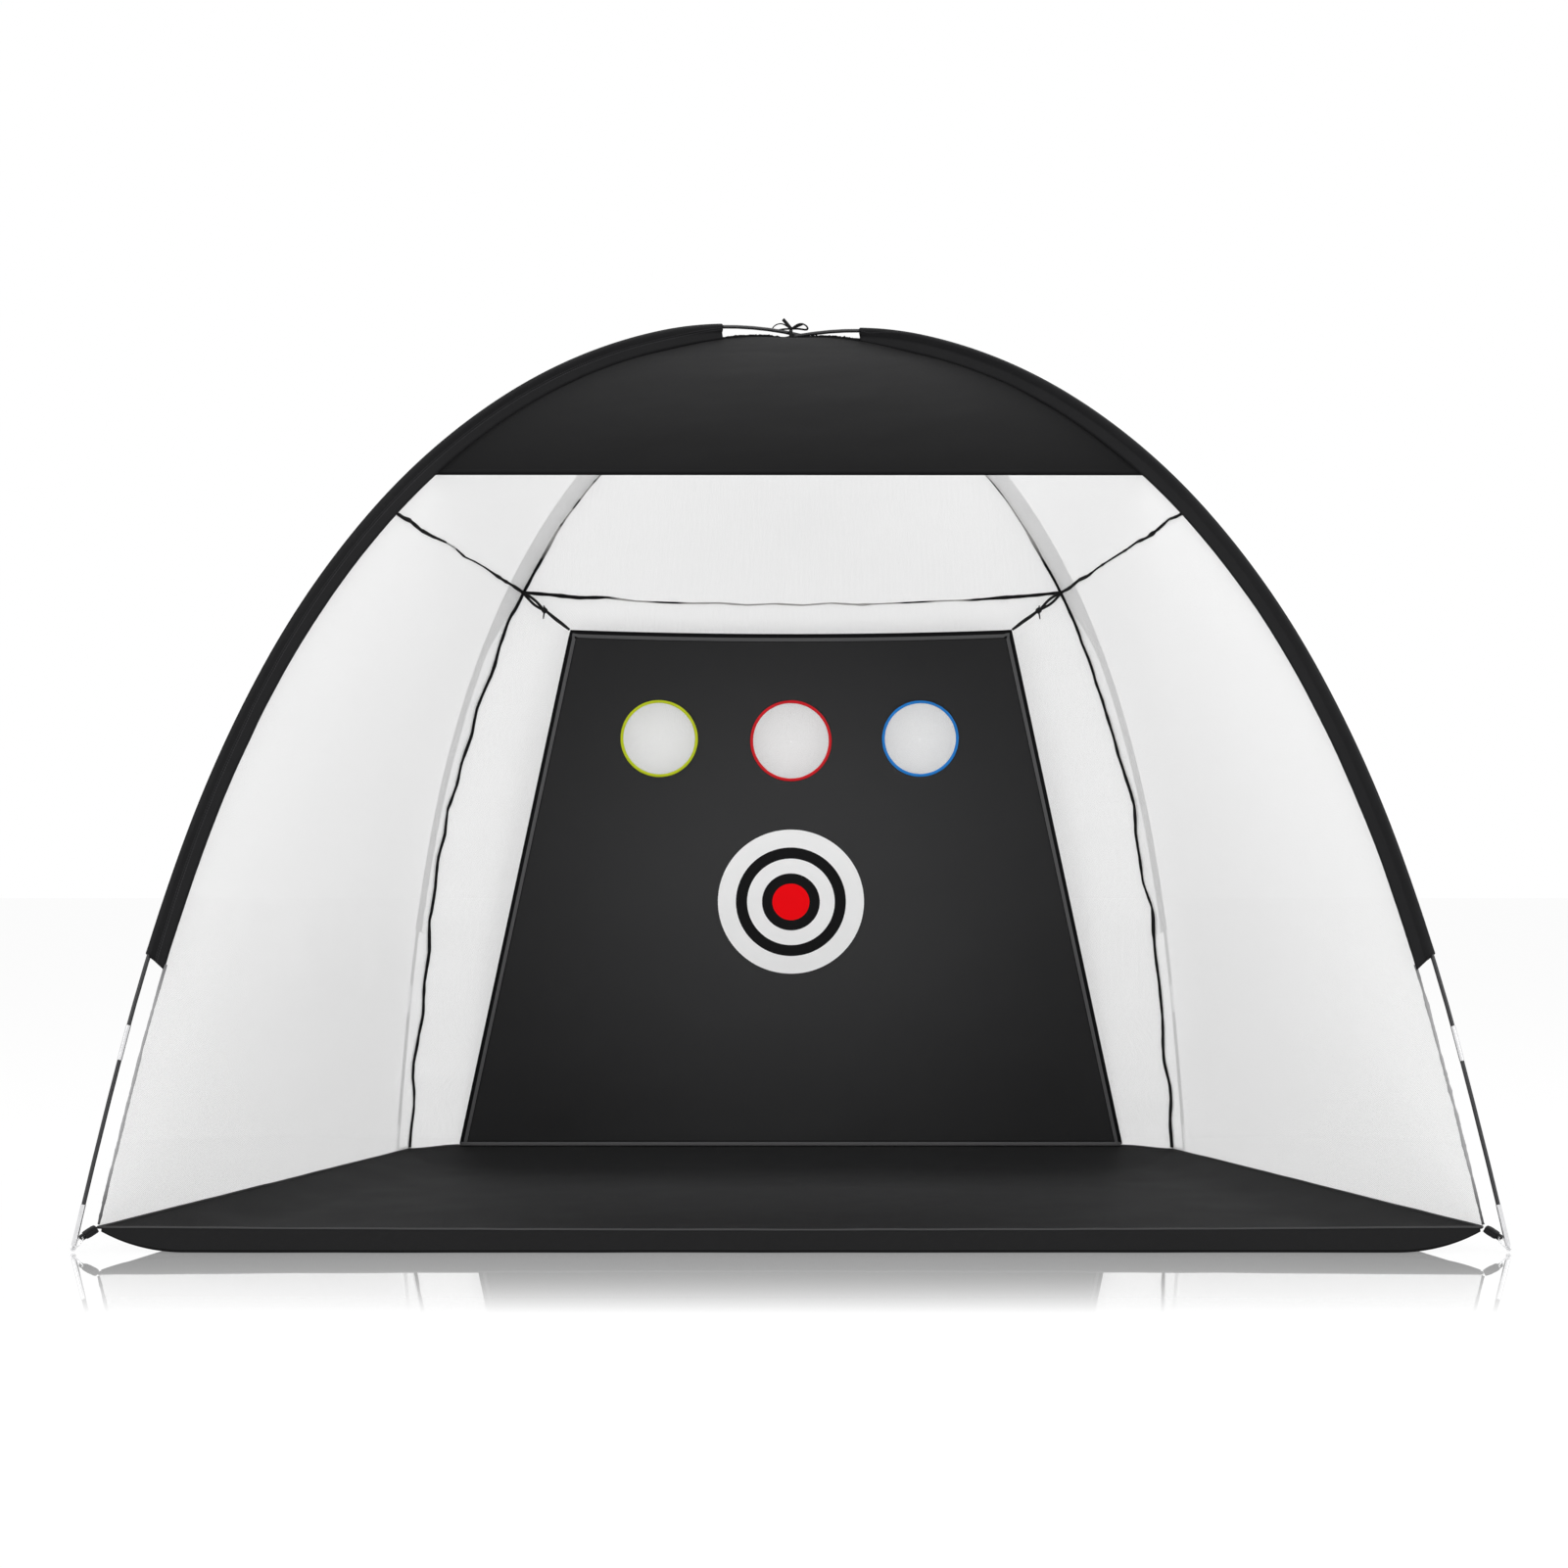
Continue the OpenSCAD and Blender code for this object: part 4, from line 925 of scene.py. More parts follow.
def net_panels():
    """The two side nets and the rear net, each in a lower and an upper panel."""
    for k, side in enumerate(SIDES):
        ia, ib = k, k + 2
        lower = grid_piece(f"{side}_net_lower", 64, 72,
                           lambda a, v: stretch(ia, ib, U_CORNER, U_RING, a, v, 30 + k))
        upper = grid_piece(f"{side}_net_upper", 56, 48,
                           lambda a, v: stretch(ia, ib, U_RING, U_CROWN, a, v, 40 + k, 0.003))
        strip = grid_piece("strip", 4, 120, lambda a, v: sleeve_mesh(ib, a, v))
        lower = join(f"{side}_net_lower", [lower, strip])
        hang_net(lower, f"net_{side}_lower", f"sleeve_{CORNERS[k]}")
        hang_net(upper, f"net_{side}_upper", f"sleeve_{CORNERS[k]}")

    def rear_low(a, v):
        p = stretch(2, 3, U_CORNER, U_RING, a, v, 50, 0.002)
        rise = rear_lift(p.x) * (1 - v) ** 3 - RING_SAG * arch(a) * v * v
        return p + Vector((0, 0.0016 * (1 - v) ** 6, rise))

    def rear_high(a, v):
        p = stretch(2, 3, U_RING, U_CROWN, a, v, 51, 0.004)
        return p - Vector((0, 0, RING_SAG * arch(a) * (1 - v) ** 2))

    hang_net(grid_piece("rear_net_lower", 96, 72, rear_low), "net_rear_lower", "sleeve_rear_left")
    hang_net(grid_piece("rear_net_upper", 80, 48, rear_high), "net_rear_upper", "sleeve_rear_left")


def header_panel():
    """The black panel between the front poles, over the opening."""
    piece = grid_piece("header_panel", 96, 64,
                       lambda a, v: stretch(0, 1, U_HEADER, U_CROWN, a, v, 60, 0.004, 0.0014))
    declare(piece, "stretched", "sleeve_front_left", "sleeve_front_right")
    thicken(piece, THIN_CLOTH)
    dress(piece, "header_cloth", stands_for=("header",))


# ---- sleeves and seams -----------------------------------------------------------------------
SLEEVE_R, SLEEVE_THROAT, SLEEVE_T, FLANGE = 0.0049, 0.0125, 0.0006, 0.0011
SNUG_R, SNUG_THROAT, SNUG_EDGE = 0.0041, 0.0072, 0.0092
SLEEVE_ROWS, HEM_MIDDLE, HEM_SLANT, HEM_FLARE = 230, 0.011, 0.5, 0.5
THROAT_SOFT = 0.012
SEAM_WIDE, EDGE_WIDE, SEAM_TUCK = 0.0037, 0.0022, 0.004
CORD_R, CORD_END, CORD_STEPS = 0.001, 0.034, 260
POLE_OF = ("upper_pole_front", "lower_pole_front", "lower_pole_rear", "upper_pole_rear")


def snug(i, u):
    """How tightly a rear sleeve is cut round its pole, 0 to 1: below the ring seam, where mesh takes over."""
    h = HALVES[i]
    return 0 if h.front else smooth((1.04 - h.at(u).z) / 0.14)


def sleeve_outline(edge, tight):
    """The sleeve's section, from its sewn edge round the pole and back: [inward, sideways], metres."""
    r, throat = mix(SLEEVE_R, SNUG_R, tight), mix(SLEEVE_THROAT, SNUG_THROAT, tight)
    edge = mix(edge, SNUG_EDGE, tight)
    side = [(edge, FLANGE * 0.8), (mix(edge, throat, 0.33), FLANGE), (mix(edge, throat, 0.66), FLANGE),
            (throat, FLANGE), (mix(throat, r, 0.26), FLANGE * 0.8), (mix(throat, r, 0.57), r * 0.39),
            (mix(throat, r, 0.83), r * 0.63)]
    turns = [math.radians(t) for t in (52, 75, 100, 125, 150, 175)]
    half = side + [(r * math.cos(t), r * math.sin(t)) for t in turns]
    return half + [(x, -y) for x, y in reversed(half)]


def sleeves():
    """A closed tube of cloth round each half pole, with a flange sewn into the seam."""
    for i, corner in enumerate(CORNERS):
        h = HALVES[i]

        def point(a, b):
            u = mix(U_LOW[i], U_TOP[i], b)
            x, y = on_outline(sleeve_outline(h.seam_gap(u), snug(i, u)), a)
            u += (x - HEM_MIDDLE) * HEM_SLANT / h.length * smooth(1 - b * 9)
            hem = 1 + HEM_FLARE * smooth(1 - min(b, 1 - b) * SLEEVE_ROWS / 3)
            pull = (sewn(i, u) - h.seam(u)) * smooth((x - THROAT_SOFT) / THROAT_SOFT)
            return h.at(u) + h.inward(u) * x + h.sideways() * (y * hem + sleeve_swing(i, u, x)) + pull

        around = len(sleeve_outline(SEAM_OFF, 0))
        piece = grid_piece(f"sleeve_cloth_{corner}", around, SLEEVE_ROWS, point, wrap=True)
        declare(piece, "folded", POLE_OF[i] + "_rods")
        thicken(piece, SLEEVE_T, -1)
        dress(piece, "sleeve_cloth", stands_for=(f"sleeve_{corner}",))


def seam_width(row, base, slim=1.0, slim_from=0.0, slim_to=0.0):
    """A seam's radius along its length: uneven, and slimmer by a factor between two shares."""
    def radius(b):
        inside = smooth((b - slim_from) / 0.06) * smooth((slim_to - b) / 0.06) if slim_to > slim_from else 0
        lump = max(0, drift(b, row + 9, 0.03) - 0.5) * 0.7
        uneven = 1 + 0.2 * drift(b, row, 0.045) + 0.14 * drift(b, row + 5, 0.012) + lump
        return base * mix(1, slim, inside) * uneven
    return radius


def seam_line(i, low, high, steps, count):
    """A seam's line between two shares of its half pole, in equal steps."""
    return evenly([sewn(i, mix(low, high, t / steps)) for t in range(steps + 1)], count)


def ring_run(i, j, steps, ease, row, size, rise, radius, sag=0.0):
    """One side of the ring seam, a little uneven between its corners."""
    line = []
    for k in range(steps + 1):
        t = k / steps
        p = mix(RING[i], RING[j], t) - Vector((0, 0, sag * arch(t)))
        line.append(p + Vector((0, 0, kink(t, row, size) * rise * smooth(min(k, steps - k) / ease))))
    return tube("ring_run", evenly(line, steps - 10), radius)


def seams():
    """The rolled tapes between the panels, and the thin edge of the side nets below the front sleeves."""
    for k, side in enumerate(SIDES):
        i = k + 2
        h = HALVES[i]
        low, top = U_CORNER[i] - SEAM_TUCK / h.length, SEAM_END / h.length
        ring_share = (U_CORNER[i] - U_RING[i]) / (U_CORNER[i] - top)
        piece = tube(f"rear_seam_{side}", seam_line(i, low, top, 400, 360),
                     seam_width(i + 2, SEAM_WIDE, 0.42, ring_share + 0.05, 1.2), up=h.sideways())
        dress(piece, "seam_tape", stands_for=(f"seam_rear_{side}",))
        i = k
        h = HALVES[i]
        low, top = U_CORNER[i] - SEAM_TUCK / h.length, SEAM_END / h.length
        piece = tube(f"crown_seam_{side}", seam_line(i, U_TOP[i], top, 60, 50), seam_width(i + 4, SEAM_WIDE),
                     up=h.inward(0.1), flat=0.7)
        dress(piece, "crown_tape", stands_for=(f"top_seam_{side}",))
        piece = tube(f"front_edge_tape_{side}", seam_line(i, low, U_LOW[i], 120, 110),
                     seam_width(i + 8, EDGE_WIDE), up=h.inward(0.8), flat=0.5)
        dress(piece, "edge_tape", stands_for=(f"edge_binding_{side}",))
    parts = [ring_run(k, k + 2, 150, 12, k + 31, 0.083, 0.0036, seam_width(k + 12, 0.0027, 0.6, 0.3, 0.75))
             for k in (0, 1)]
    parts.append(ring_run(2, 3, 200, 14, 35, 0.052, 0.003, seam_width(16, 0.0029, 0.5, 0.14, 0.86), RING_SAG))
    dress(join("ring_seam_tape", parts), "ring_tape", stands_for=("ring_seam",))


def shock_cords():
    """The elastic cord through the rods of each pole."""
    for pole, half, name in ((UPPER, HALVES[0], "upper_pole"), (LOWER, HALVES[1], "lower_pole")):
        line = []
        for k in range(CORD_STEPS + 1):
            run, high = pole.in_plane(mix(CORD_END, pole.length - CORD_END, k / CORD_STEPS))
            line.append(Vector((-half.away[0] * run, -half.away[1] * run + cross_y, high)))
        piece = tube(f"{name}_elastic_core", line, CORD_R, 6, up=half.sideways())
        dress(piece, "shock_cord_braid", stands_for=(f"{name}_shock_cord",))


# ---- the ground sheet ------------------------------------------------------------------------
BORDER_W, SKIRT_RUN, FRONT_SAG, PIPING_STEPS = 0.13, 0.13, 0.004, 620


def front_edge(t):
    return mix(CORNER[0], CORNER[1], t) - Vector((0, 0, FRONT_SAG * arch(t)))


def rear_edge(t):
    p = mix(CORNER[2], CORNER[3], t)
    return p + Vector((0, 0, rear_lift(p.x)))


def spread(t, share=0.14, part=0.32):
    """Shares from 0 to 1 that are closer together near both ends."""
    if t < part:
        return share * t / part
    if t > 1 - part:
        return 1 - share * (1 - t) / part
    return mix(share, 1 - share, (t - part) / (1 - 2 * part))


def floor_point(a, b):
    """A point of the ground sheet: flat on the ground, and raised to its piping in a border."""
    p = mix(front_edge(a), rear_edge(a), b)
    q = mix(mix(CORNER[0], CORNER[2], b), mix(CORNER[1], CORNER[3], b), a)
    wide = (mix(CORNER[1], CORNER[3], b) - mix(CORNER[0], CORNER[2], b)).length
    long = CORNER[2].y - CORNER[0].y
    across, along = min(a, 1 - a) * wide, min(b, 1 - b) * long
    near = min(1, min(across, along) / BORDER_W)
    rim = q.z if across < along else p.z
    calm = smooth(min(across, along) / 0.06)
    rise = max(0, crease(q.x, q.y, 80, 0.2) * 0.0024 + crease(q.x, q.y, 81, 0.06) * 0.0006 + 0.0006) * calm
    return Vector((q.x, q.y, CLOTH_T / 2 + (rim - CLOTH_T / 2) * (1 - near) ** 2 + rise))


def skirt_point(a, b):
    """A point of the skirt, from its hem, b = 0, to the sheet's front edge, b = 1."""
    wide = (CORNER[1] - CORNER[0]).length
    t = mix(0.003, 0.997, spread(a, 0.09, 0.2))
    far = min(t, 1 - t) * wide
    p = front_edge(t) - Vector((0, 0.0012, 0))
    low = max(0, 1 - far / SKIRT_RUN) ** 2
    hem = mix(0.0009, p.z - 0.003, low)
    r = 1 - b
    belly = math.sin(math.pi * r) * 0.0015 * (1 - low)
    wave = drift(t * wide, 92, 0.11) * 0.0012 * r * (1 - low)
    return Vector((p.x, p.y - (SKIRT_OUT - 0.0035) * r * (1 - low) - belly + wave, mix(p.z, hem, r)))


def ground():
    """The ground sheet, the piping round it and the skirt before it."""
    sheet = grid_piece("ground_sheet_cloth", 120, 72, lambda a, b: floor_point(spread(a), spread(b, 0.26)))
    declare(sheet, "laid", "studio_floor")
    thicken(sheet, THIN_CLOTH)
    dress(sheet, "ground_cloth", stands_for=("ground_sheet",))

    round_trip = [front_edge(t / 200) for t in range(201)] + [rear_edge(1 - t / 160) for t in range(161)]
    line = evenly(round_trip + [round_trip[0]], PIPING_STEPS)[:-1]
    line = [p + Vector((0, 0, drift(k / PIPING_STEPS, 88, 0.012) * 0.0004)) for k, p in enumerate(line)]
    piping = tube("ground_sheet_piping", line, PIPING_R, 8, closed=True)
    dress(piping, "grey_piping", stands_for=("ground_piping",))

    skirt = grid_piece("front_skirt_cloth", 200, 10, skirt_point)
    declare(skirt, "hung", "ground_sheet_piping")
    thicken(skirt, THIN_CLOTH)
    dress(skirt, "skirt_cloth", stands_for=("front_skirt",))


# ---- the target ------------------------------------------------------------------------------
FOOT_HALF, TOP_HALF, TARGET_SAG, HOLE_OVER = 0.6, 0.386, 0.007, 0.001
PRINT_FREE = 3.0  # moves the back of the cloth off the printed bullseye
# how far the target's foot stands before and above the piping, its top below the ring seam and before the net
FOOT_AHEAD, FOOT_CLEAR, TOP_DROP, TOP_AHEAD = 0.0015, 0.0002, 0.068, 0.04
TARGET_FOOT = rear_edge(0.5) + Vector((0, -FOOT_AHEAD, PIPING_R + SEWN_GAP + FOOT_CLEAR))
TARGET_TOP = RING[2].z - TOP_DROP
NET_BEHIND = HALVES[2].seam(HALVES[2].find(TARGET_TOP, SEAM_OFF)).y
LEAN = math.atan2(TARGET_FOOT.y - (NET_BEHIND - TOP_AHEAD), TARGET_TOP - TARGET_FOOT.z)
TARGET_H = (TARGET_TOP - TARGET_FOOT.z) / math.cos(LEAN)
HOLES = ((-0.232, 0.7373, 0.064, "left", "green_tape"), (0.0, 0.7333, 0.0675, "middle", "red_tape"),
         (0.228, 0.7373, 0.0635, "right", "blue_tape"))
FORWARD = Vector((0, -math.cos(LEAN), -math.sin(LEAN)))
RISE = Vector((0, -math.sin(LEAN), math.cos(LEAN)))

# sections of the tapes, across and out of the cloth
BINDING_OUTLINE = ((-1, 0.0), (-0.97, 1.0), (-0.6, 1.12), (0, 1.0), (0.8, 1.05), (0.97, 0.8), (1, 0.0),
                   (0.97, -0.8), (0.8, -1.05), (0, -1.0), (-0.6, -1.12), (-0.97, -1.0))
RIM_OUTLINE = ((-1, 0), (-0.95, 0.7), (-0.6, 1), (0.2, 1.05), (0.8, 0.9), (1, 0.35), (1, -0.35), (0.8, -0.9),
               (0.2, -1.05), (-0.6, -1), (-0.95, -0.7))
BINDING_T, FOOT_TAPE, FOOT_TAPE_AT = 0.0017, (0.0062, 0.0012), (0.0014, 0.0028)
RIM_STEPS, RIM_HALF, RIM_OUT, RIM_T = 96, 0.0026, 0.0016, 0.0019
POCKET_LIP, POCKET_DEEP, POCKET_CUT = 0.0022, 0.0225, 1.13


def on_target(x, up, out=0.0):
    """A place on the target: across and up from the middle of its foot, and out of its face."""
    return TARGET_FOOT + Vector((x, -up * math.sin(LEAN), up * math.cos(LEAN))) + FORWARD * out


def target_edge(up):
    return mix(FOOT_HALF, TOP_HALF, up / TARGET_H)


def target_up(a, b):
    return b * (TARGET_H - TARGET_SAG * arch(a))


def target_belly(x, up):
    """How far the hanging cloth stands out of its plane."""
    calm = smooth((target_edge(up) - abs(x)) / 0.08) * smooth(up / 0.06) * smooth((TARGET_H - up) / 0.08)
    fold = crease(x, up, 101, 0.22) * 0.003 + crease(x, up, 102, 0.07) * 0.0007
    return fold * calm


def flat_place(p):
    """Where a place lies in the target's plane: across and up from the middle of its foot."""
    off = p - on_target(0, 0)
    return off.x, off.dot(RISE)


def cut_holes(mesh):
    """Takes the ball holes out of the target's mesh and draws their rims to a circle."""
    work = bmesh.new()
    work.from_mesh(mesh)
    for x, up, r, _, _ in HOLES:
        gone = []
        for face in work.faces:
            across, high = flat_place(face.calc_center_median())
            if math.hypot(across - x, high - up) < r:
                gone.append(face)
        rim = {v for face in gone for v in face.verts}
        bmesh.ops.delete(work, geom=gone, context="FACES")
        for v in rim:
            if v.is_valid and v.is_boundary:
                across, high = flat_place(v.co)
                off = Vector((across - x, high - up))
                scale = (r + HOLE_OVER) / off.length
                v.co = on_target(x + off.x * scale, up + off.y * scale)
    work.to_mesh(mesh)
    work.free()


def target_cloth():
    """The cloth itself, with its print laid on in its own plane."""
    def point(a, b):
        up = target_up(a, b)
        x = mix(-1, 1, a) * (target_edge(up) - CLOTH_T)
        return on_target(x, up, target_belly(x, up))

    piece = grid_piece("target_panel", 132, 104, point)
    mesh = piece.data
    layer = mesh.uv_layers.active.data
    for loop in mesh.loops:
        layer[loop.index].uv = flat_place(mesh.vertices[loop.vertex_index].co)
    cut_holes(mesh)
    declare(piece, "hung", "target_strap_left", "target_strap_right")
    thicken(piece, CLOTH_T)
    for face in mesh.polygons:
        if face.normal.dot(FORWARD) < 0.5:
            for k in face.loop_indices:
                mesh.uv_layers.active.data[k].uv.x += PRINT_FREE
    dress(piece, "target_cloth", "target", stands_for=("target_cloth",))


def target_binding():
    """One tape, folded over the two sides and the top, and a thin one along the foot."""
    half = TAPE_HALF
    path = []
    for k in range(121):
        up = mix(0, TARGET_H - half, k / 120)
        path.append((-(target_edge(up) - half), up))
    for k in range(1, 100):
        x = mix(-(TOP_HALF - half), TOP_HALF - half, k / 100)
        path.append((x, TARGET_H - half - TARGET_SAG * arch(k / 100)))
    for k in range(121):
        up = mix(TARGET_H - half, 0, k / 120)
        path.append((target_edge(up) - half, up))
    count = len(path) - 1

    def point(a, b):
        i = round(b * count)
        x, up = path[i]
        side = Vector(path[min(count, i + 1)]) - Vector(path[max(0, i - 1)])
        side = Vector((side.y, -side.x)).normalized()
        grow = 1 / max(0.75, abs(side.dot(corner_side(path, i, count))))
        across, out = on_outline(BINDING_OUTLINE, a)
        w, t = across * half * grow, out * BINDING_T
        return on_target(x + side.x * w, up + side.y * w, target_belly(x, up) + t)

    piece = grid_piece("target_edge_tape", len(BINDING_OUTLINE), count, point, wrap=True, cap=True)
    foot = [on_target(mix(-1, 1, k / 60) * (FOOT_HALF - 0.003), *FOOT_TAPE_AT) for k in range(61)]
    foot_tape = ribbon("foot_tape", foot, *FOOT_TAPE, (0, 0, 1))
    for loop in foot_tape.data.uv_layers.active.data:
        loop.uv.x = TAPE_GREY_AT
    piece = join("target_edge_tape", [piece, foot_tape])
    dress(piece, "target_tape", "target", stands_for=("target_binding",))


def corner_side(path, i, count):
    """The direction square to one run of a path, to mitre its corners."""
    k = min(i, count - 1)
    near = Vector(path[k + 1]) - Vector(path[k])
    return Vector((near.y, -near.x)).normalized()


def hole_tape(x, up, r, a, b):
    """A point of the tape that binds a ball hole."""
    t = 2 * math.pi * (round(b * RIM_STEPS) % RIM_STEPS) / RIM_STEPS
    across, out = on_outline(RIM_OUTLINE, a)
    w = across * RIM_HALF * (1 + 0.06 * drift(b, 120 + r * 1000, 0.02))
    far = r + RIM_OUT + w
    return on_target(x + math.cos(t) * far, up + math.sin(t) * far, out * RIM_T)


def pocket_point(x, up, r, a, b):
    """A point of a ball pocket, from the rim of its hole, b = 0, to its floor, b = 1."""
    t = 2 * math.pi * a
    swell = math.sin(math.pi / 2 * b)
    wide = (r + POCKET_LIP) * math.cos(math.pi / 2 * b * 0.985)
    droop = 0.004 * swell
    ruck = 1 + 0.02 * math.sin(t * 14) * (1 - b)
    return on_target(x + math.cos(t) * wide * ruck, up + math.sin(t) * wide * ruck - droop,
                     -POCKET_LIP - POCKET_DEEP * swell)


def hole_rims():
    """The coloured tape round each ball hole, and the mesh pocket behind it."""
    for x, up, r, side, tape in HOLES:
        piece = grid_piece(f"hole_edge_tape_{side}", len(RIM_OUTLINE), RIM_STEPS,
                           lambda a, b: hole_tape(x, up, r, a, b), wrap=True)
        dress(piece, tape, "target", stands_for=(f"hole_rim_{side}",))
        bag = grid_piece(f"ball_pocket_{side}", 48, 14, lambda a, b: pocket_point(x, up, r, a, b), wrap=True)
        flat = cloth_area(bag)
        dress(bag, "pocket_mesh", "target", stands_for=(f"pocket_{side}",))


# a strap's ends: before the ring seam, and in from both corners; where its knot sits, and its three turns
STRAP_AHEAD, STRAP_IN, STRAP_SAG, KNOT_AT = 0.0034, (0.0012, 0.001), 0.0016, 0.46
STRAND_R, STRAND_FLAT, STRAND_BOW = 0.0024, 0.7, 0.0033
KNOT_R, KNOT_TURN = 0.0021, (0.0028, 0.0031, 0.0026)
KNOT_ENDS = ((0.001, -0.004, 0.011), (0.002, -0.004, -0.012))


def strap_strands(k, start, knot, sag, off):
    """The two strands from the corner of the seams to the knot, which bow apart."""
    parts = []
    for sign in (-1, 1):
        line = []
        for j in range(25):
            t = j / 24
            swing = sign * STRAND_BOW * math.sin(math.pi * min(1, t * 1.05))
            bow = off * (swing + drift(t, 140 + sign + k, 0.3) * 0.0004)
            line.append(mix(start, knot, t) - sag * arch(t * KNOT_AT) * 0.5 + bow)
        parts.append(tube("strand", line, STRAND_R, 8, up=off, flat=STRAND_FLAT))
    return parts


def strap_knot(knot, along, off, square):
    """A figure of eight round the strap."""
    loop = []
    for j in range(60):
        t = 2 * math.pi * j / 60
        loop.append(knot + along * (KNOT_TURN[0] * math.sin(2 * t)) + off * (KNOT_TURN[1] * math.cos(t))
                    + square * (KNOT_TURN[2] * math.sin(t)))
    return tube("strand", loop + [loop[0]], KNOT_R, 8, up=along, closed=True)


def target_straps():
    """Elastic from the corner of the seams to the target's corner, doubled up to its knot."""
    square = Vector((0, 1, 0))
    sag = Vector((0, 0, STRAP_SAG))
    for k, side in enumerate(SIDES):
        outward = -1 if k == 0 else 1
        seam_corner = RING[k + 2] - Vector((0, STRAP_AHEAD, 0))
        cloth_corner = on_target(outward * TOP_HALF, TARGET_H)
        along = (cloth_corner - seam_corner).normalized()
        off = along.cross(square).normalized()
        start, end = seam_corner + along * STRAP_IN[0], cloth_corner - along * STRAP_IN[1]
        knot = mix(start, end, KNOT_AT) - sag
        parts = strap_strands(k, start, knot, sag, off)
        line = [mix(knot, end, j / 24) + off * drift(j / 24, 146 + k, 0.4) * 0.0006 for j in range(25)]
        parts.append(tube("strand", line, lambda b: KNOT_R + 0.0011 * arch(b), 8, up=off, flat=STRAND_FLAT))
        parts.append(strap_knot(knot, along, off, square))
        for row, (x, y, z) in enumerate(KNOT_ENDS):
            reach = Vector((outward * x, y, z))
            line = [knot + reach * (j / 14) + Vector((0, 0, -0.003 * (j / 14) ** 2))
                    + off * drift(j / 14, 150 + row, 0.5) * 0.0006 for j in range(15)]
            parts.append(tube("strand", line, lambda b: mix(0.0019, 0.0012, b), 6, up=square))
        piece = join(f"target_strap_{side}", parts)
        dress(piece, "elastic", body=None, stands_for=(f"target_tie_{side}",))
        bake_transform(piece)


# ---- the ribbon at the crossing and the corners ----------------------------------------------
WRAP_STEPS, RIBBON_T, BOW_RIBBON = 48, 0.001, (0.0046, 0.0016)
BOW_KNOT = (0.0016, 0.0024, 0.0028, 0.0026, 0.0029, 0.0024, 0.0015)
# a loop's points across and up from the knot, and each tail's end, lean and width: all but the width in mm
BOW_LOOP = ((2, 0.4), (6, 3.4), (12, 7.2), (18, 8.4), (24.5, 6.6), (29.5, 2.4), (31, -1.8), (27.6, -3.6),
            (20, -2.2), (12, -0.9), (2, -0.8))
BOW_TAILS = ((-13, -4.5, 14.0, 0.2, 0.0054), (20, -3.5, 6.5, -0.3, 0.0034))


def soften(v):
    """Rounds a circle's sine or cosine out toward a square."""
    return math.copysign(abs(v) ** 0.6, v)


def crossing_wrap(low, high):
    """The band of ribbon round both poles and the nets' corners below them."""
    half = ROD_D * 0.88 + RIBBON_W * 0.29 + 0.0011
    line = []
    for k in range(WRAP_STEPS):
        t = 2 * math.pi * k / WRAP_STEPS
        z = mix(low, high, 0.5 + soften(math.cos(t)) / 2)
        line.append(Vector((0, cross_y + half * soften(math.sin(t)), z)))
    return ribbon("band", line, RIBBON_W, RIBBON_T, (1, 0, 0), closed=True)


def crossing_bow():
    """A ribbon round the crossing, tied in a bow with two loops and two tails."""
    high = TOP_Z + ROD_D / 2 + 0.0012
    parts = [crossing_wrap(CROWN_Z, high)]
    knot = Vector((0, cross_y, high + 0.0036))
    line = [knot + Vector((x * MM, 0, 0)) for x in range(-3, 4)]
    parts.append(tube("band", line, lambda b: BOW_KNOT[round(b * 6)], 12))
    for side, grow, tilt in ((-1, 1.0, 0.10), (1, 0.9, -0.12)):
        line = [Vector((side * x * grow, -1.2 + tilt * x, z * grow)) * MM + knot for x, z in BOW_LOOP]
        parts.append(ribbon("band", evenly(chaikin(line), 54), *BOW_RIBBON, (0, 1, 0.55)))
    for x, y, z, lean, wide in BOW_TAILS:
        line = []
        for k in range(17):
            t = k / 16
            rise = z * t + 1.2 * math.sin(math.pi * t) * lean
            line.append(knot + Vector((x * t, y * t - 1.5 * t * t, rise)) * MM)
        parts.append(ribbon("band", line, wide, BOW_RIBBON[1], (z, lean * 10, -x)))
    piece = join("crossing_bow", parts)
    dress(piece, "bow_ribbon", stands_for=("crossing_tie",))


BUNDLE_WIDE, BUNDLE_THICK, BUNDLE_START, BUNDLE_STOP = 0.0165, 0.0105, 0.0026, 0.0072
BUNDLE_OUTLINE = ((-1, -1), (1, -1), (1, -0.36), (0.9, -0.32), (1, -0.28), (1, 0.36), (0.9, 0.4), (1, 0.44),
                  (1, 1), (-1, 1), (-1, 0.44), (-0.9, 0.4), (-1, 0.36), (-1, -0.28), (-0.9, -0.32),
                  (-1, -0.36))


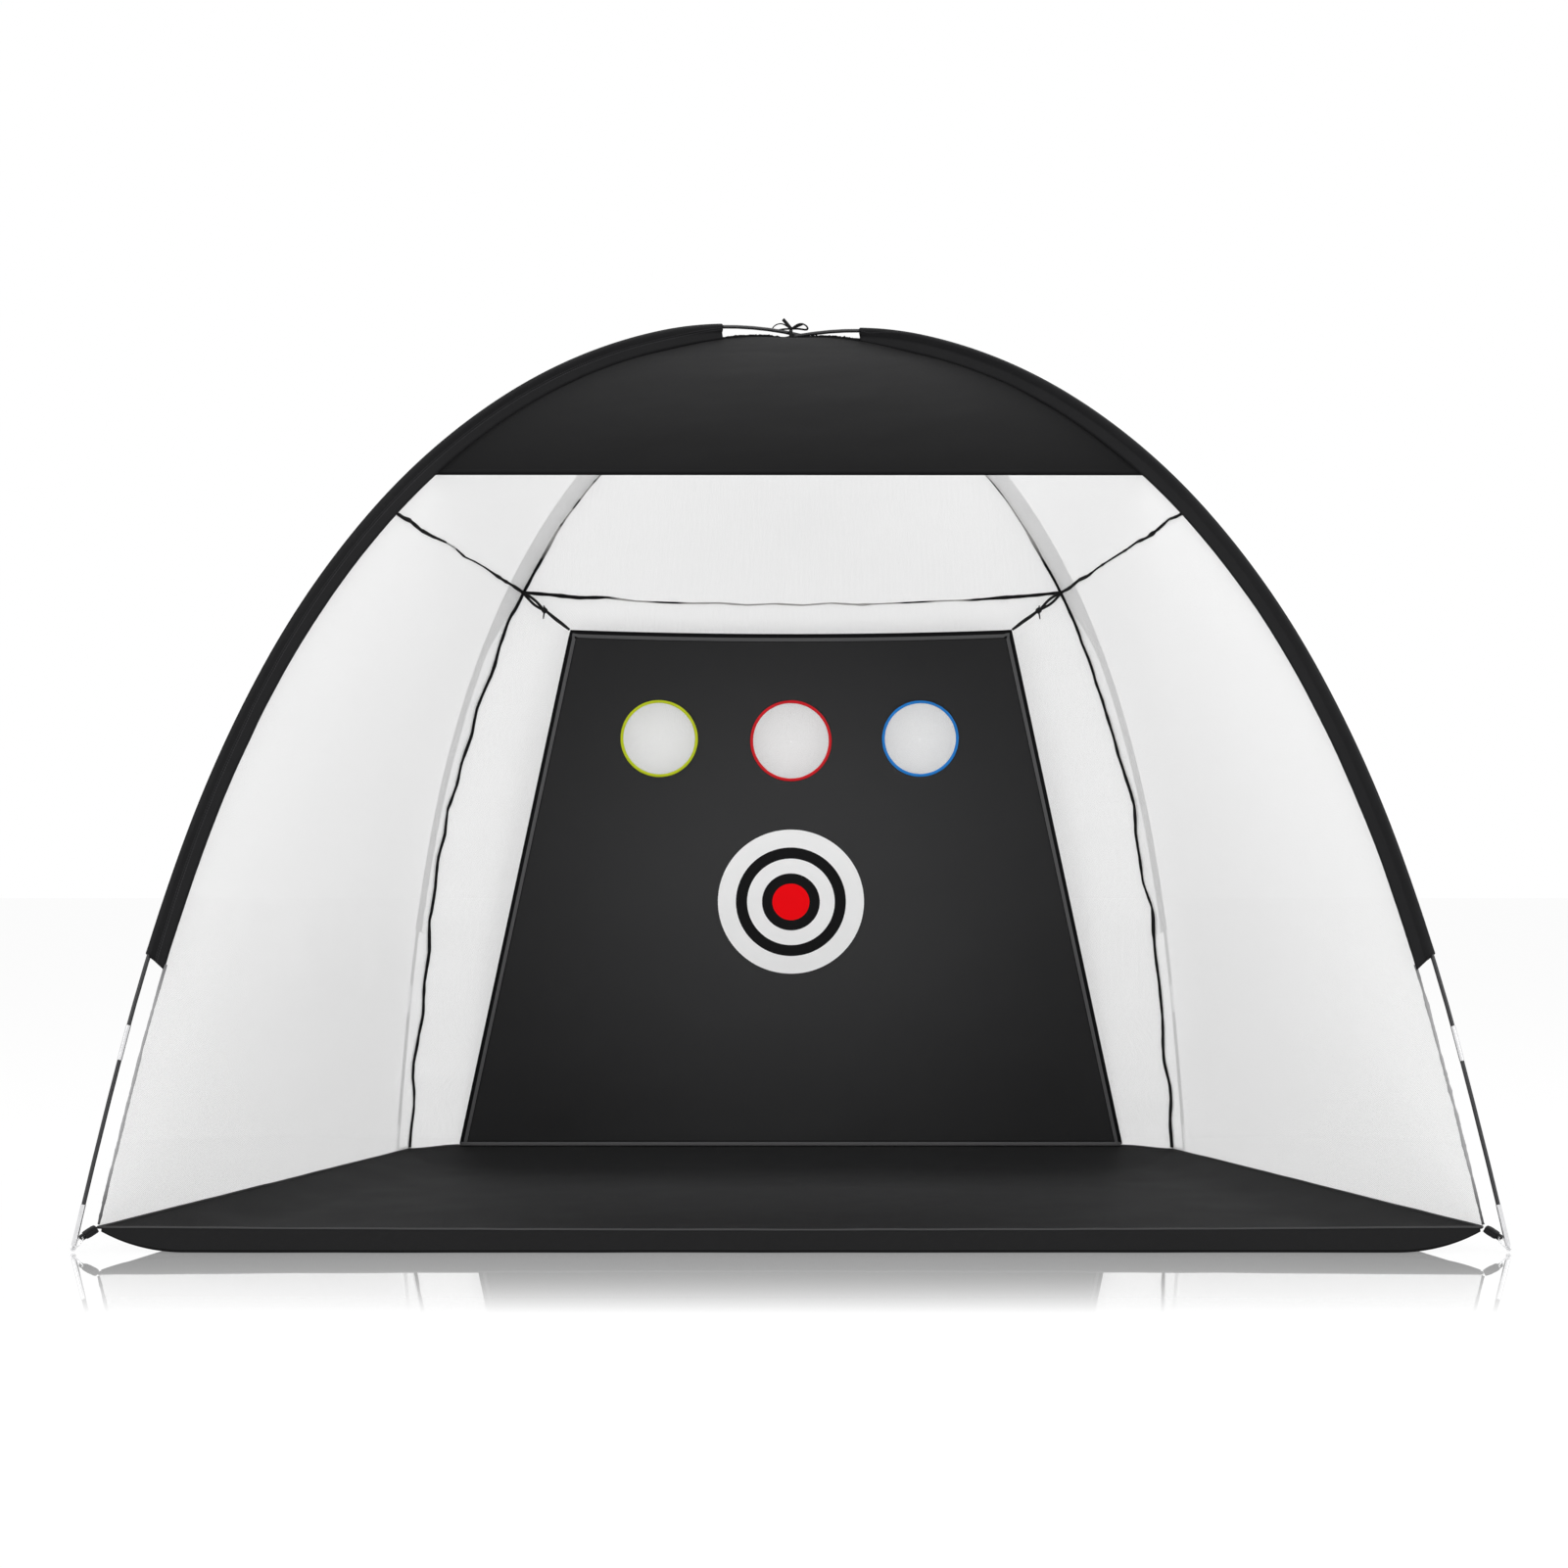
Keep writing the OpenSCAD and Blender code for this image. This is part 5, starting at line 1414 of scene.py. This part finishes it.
def strap_bundle(i, strap):
    """The strap's tail, folded over itself and sewn down between the ring and the sheet's corner."""
    centre = sum((v.co for v in strap.data.vertices), Vector()) / len(strap.data.vertices)
    run = (centre - CORNER[i]).normalized()
    side = HALVES[i].sideways()
    up = run.cross(side)
    reach = max((v.co - CORNER[i]).dot(run) for v in strap.data.vertices)
    outline = chaikin([Vector(p) for p in BUNDLE_OUTLINE], 1, closed=True)

    def point(a, b):
        x, y = on_outline(outline, a)
        full = min(1, 0.86 + 0.3 * math.sin(math.pi * b))
        ruck = 1 + 0.05 * drift(b, 160 + i, 0.3)
        return (CORNER[i] + run * mix(BUNDLE_START, reach - BUNDLE_STOP, b)
                + side * (x * BUNDLE_WIDE / 2 * mix(1, full, 0.4))
                + up * (y * BUNDLE_THICK / 2 * full * ruck))

    return grid_piece("bundle", len(outline), 14, point, wrap=True, cap=True)


def corner_straps():
    """A copy of each folded strap, with softened edges and with its tail."""
    for i, corner in enumerate(CORNERS):
        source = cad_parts[f"corner_webbing_{corner}"]
        piece = source.copy()
        piece.data = source.data.copy()
        for key in list(piece.keys()):
            del piece[key]
        piece.parent = None
        piece.name = f"corner_strap_{corner}"
        bpy.context.scene.collection.objects.link(piece)
        work = bmesh.new()
        work.from_mesh(piece.data)
        bmesh.ops.remove_doubles(work, verts=work.verts, dist=TOUCHING)
        bmesh.ops.dissolve_limit(work, angle_limit=0.02, verts=work.verts, edges=work.edges)
        work.to_mesh(piece.data)
        work.free()
        apply_modifier(piece, "BEVEL", width=0.00045, segments=2, limit_method="ANGLE", angle_limit=0.7)
        piece = join(piece.name, [piece, strap_bundle(i, piece)])
        for face in piece.data.polygons:
            face.use_smooth = True
        if not piece.data.uv_layers:
            piece.data.uv_layers.new(name="UVMap")
        h = HALVES[i]
        away, square = Vector((*h.away, 0)), h.sideways()
        layer = piece.data.uv_layers.active.data
        for loop in piece.data.loops:
            at = piece.data.vertices[loop.vertex_index].co
            layer[loop.index].uv = (at.dot(square), at.dot(away))
        dress(piece, "webbing", stands_for=(f"corner_webbing_{corner}",))


def cad_finishes():
    """The rods and the steel parts are shown as they are in the CAD."""
    for name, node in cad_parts.items():
        if name.endswith("_rods"):
            finish = "rod_fibreglass"
        elif name.endswith("_ferrules") or name.startswith(("end_tip", "ring_pin", "corner_ring")):
            finish = "bright_steel"
        else:
            continue
        node.data.materials.clear()
        node.data.materials.append(FINISHES[finish])


set_camera()
set_world()
set_floor()
for lamp in LAMPS:
    area_lamp(*lamp)
make_finishes()
net_panels()
header_panel()
sleeves()
seams()
shock_cords()
ground()
target_cloth()
target_binding()
hole_rims()
target_straps()
crossing_bow()
corner_straps()
cad_finishes()
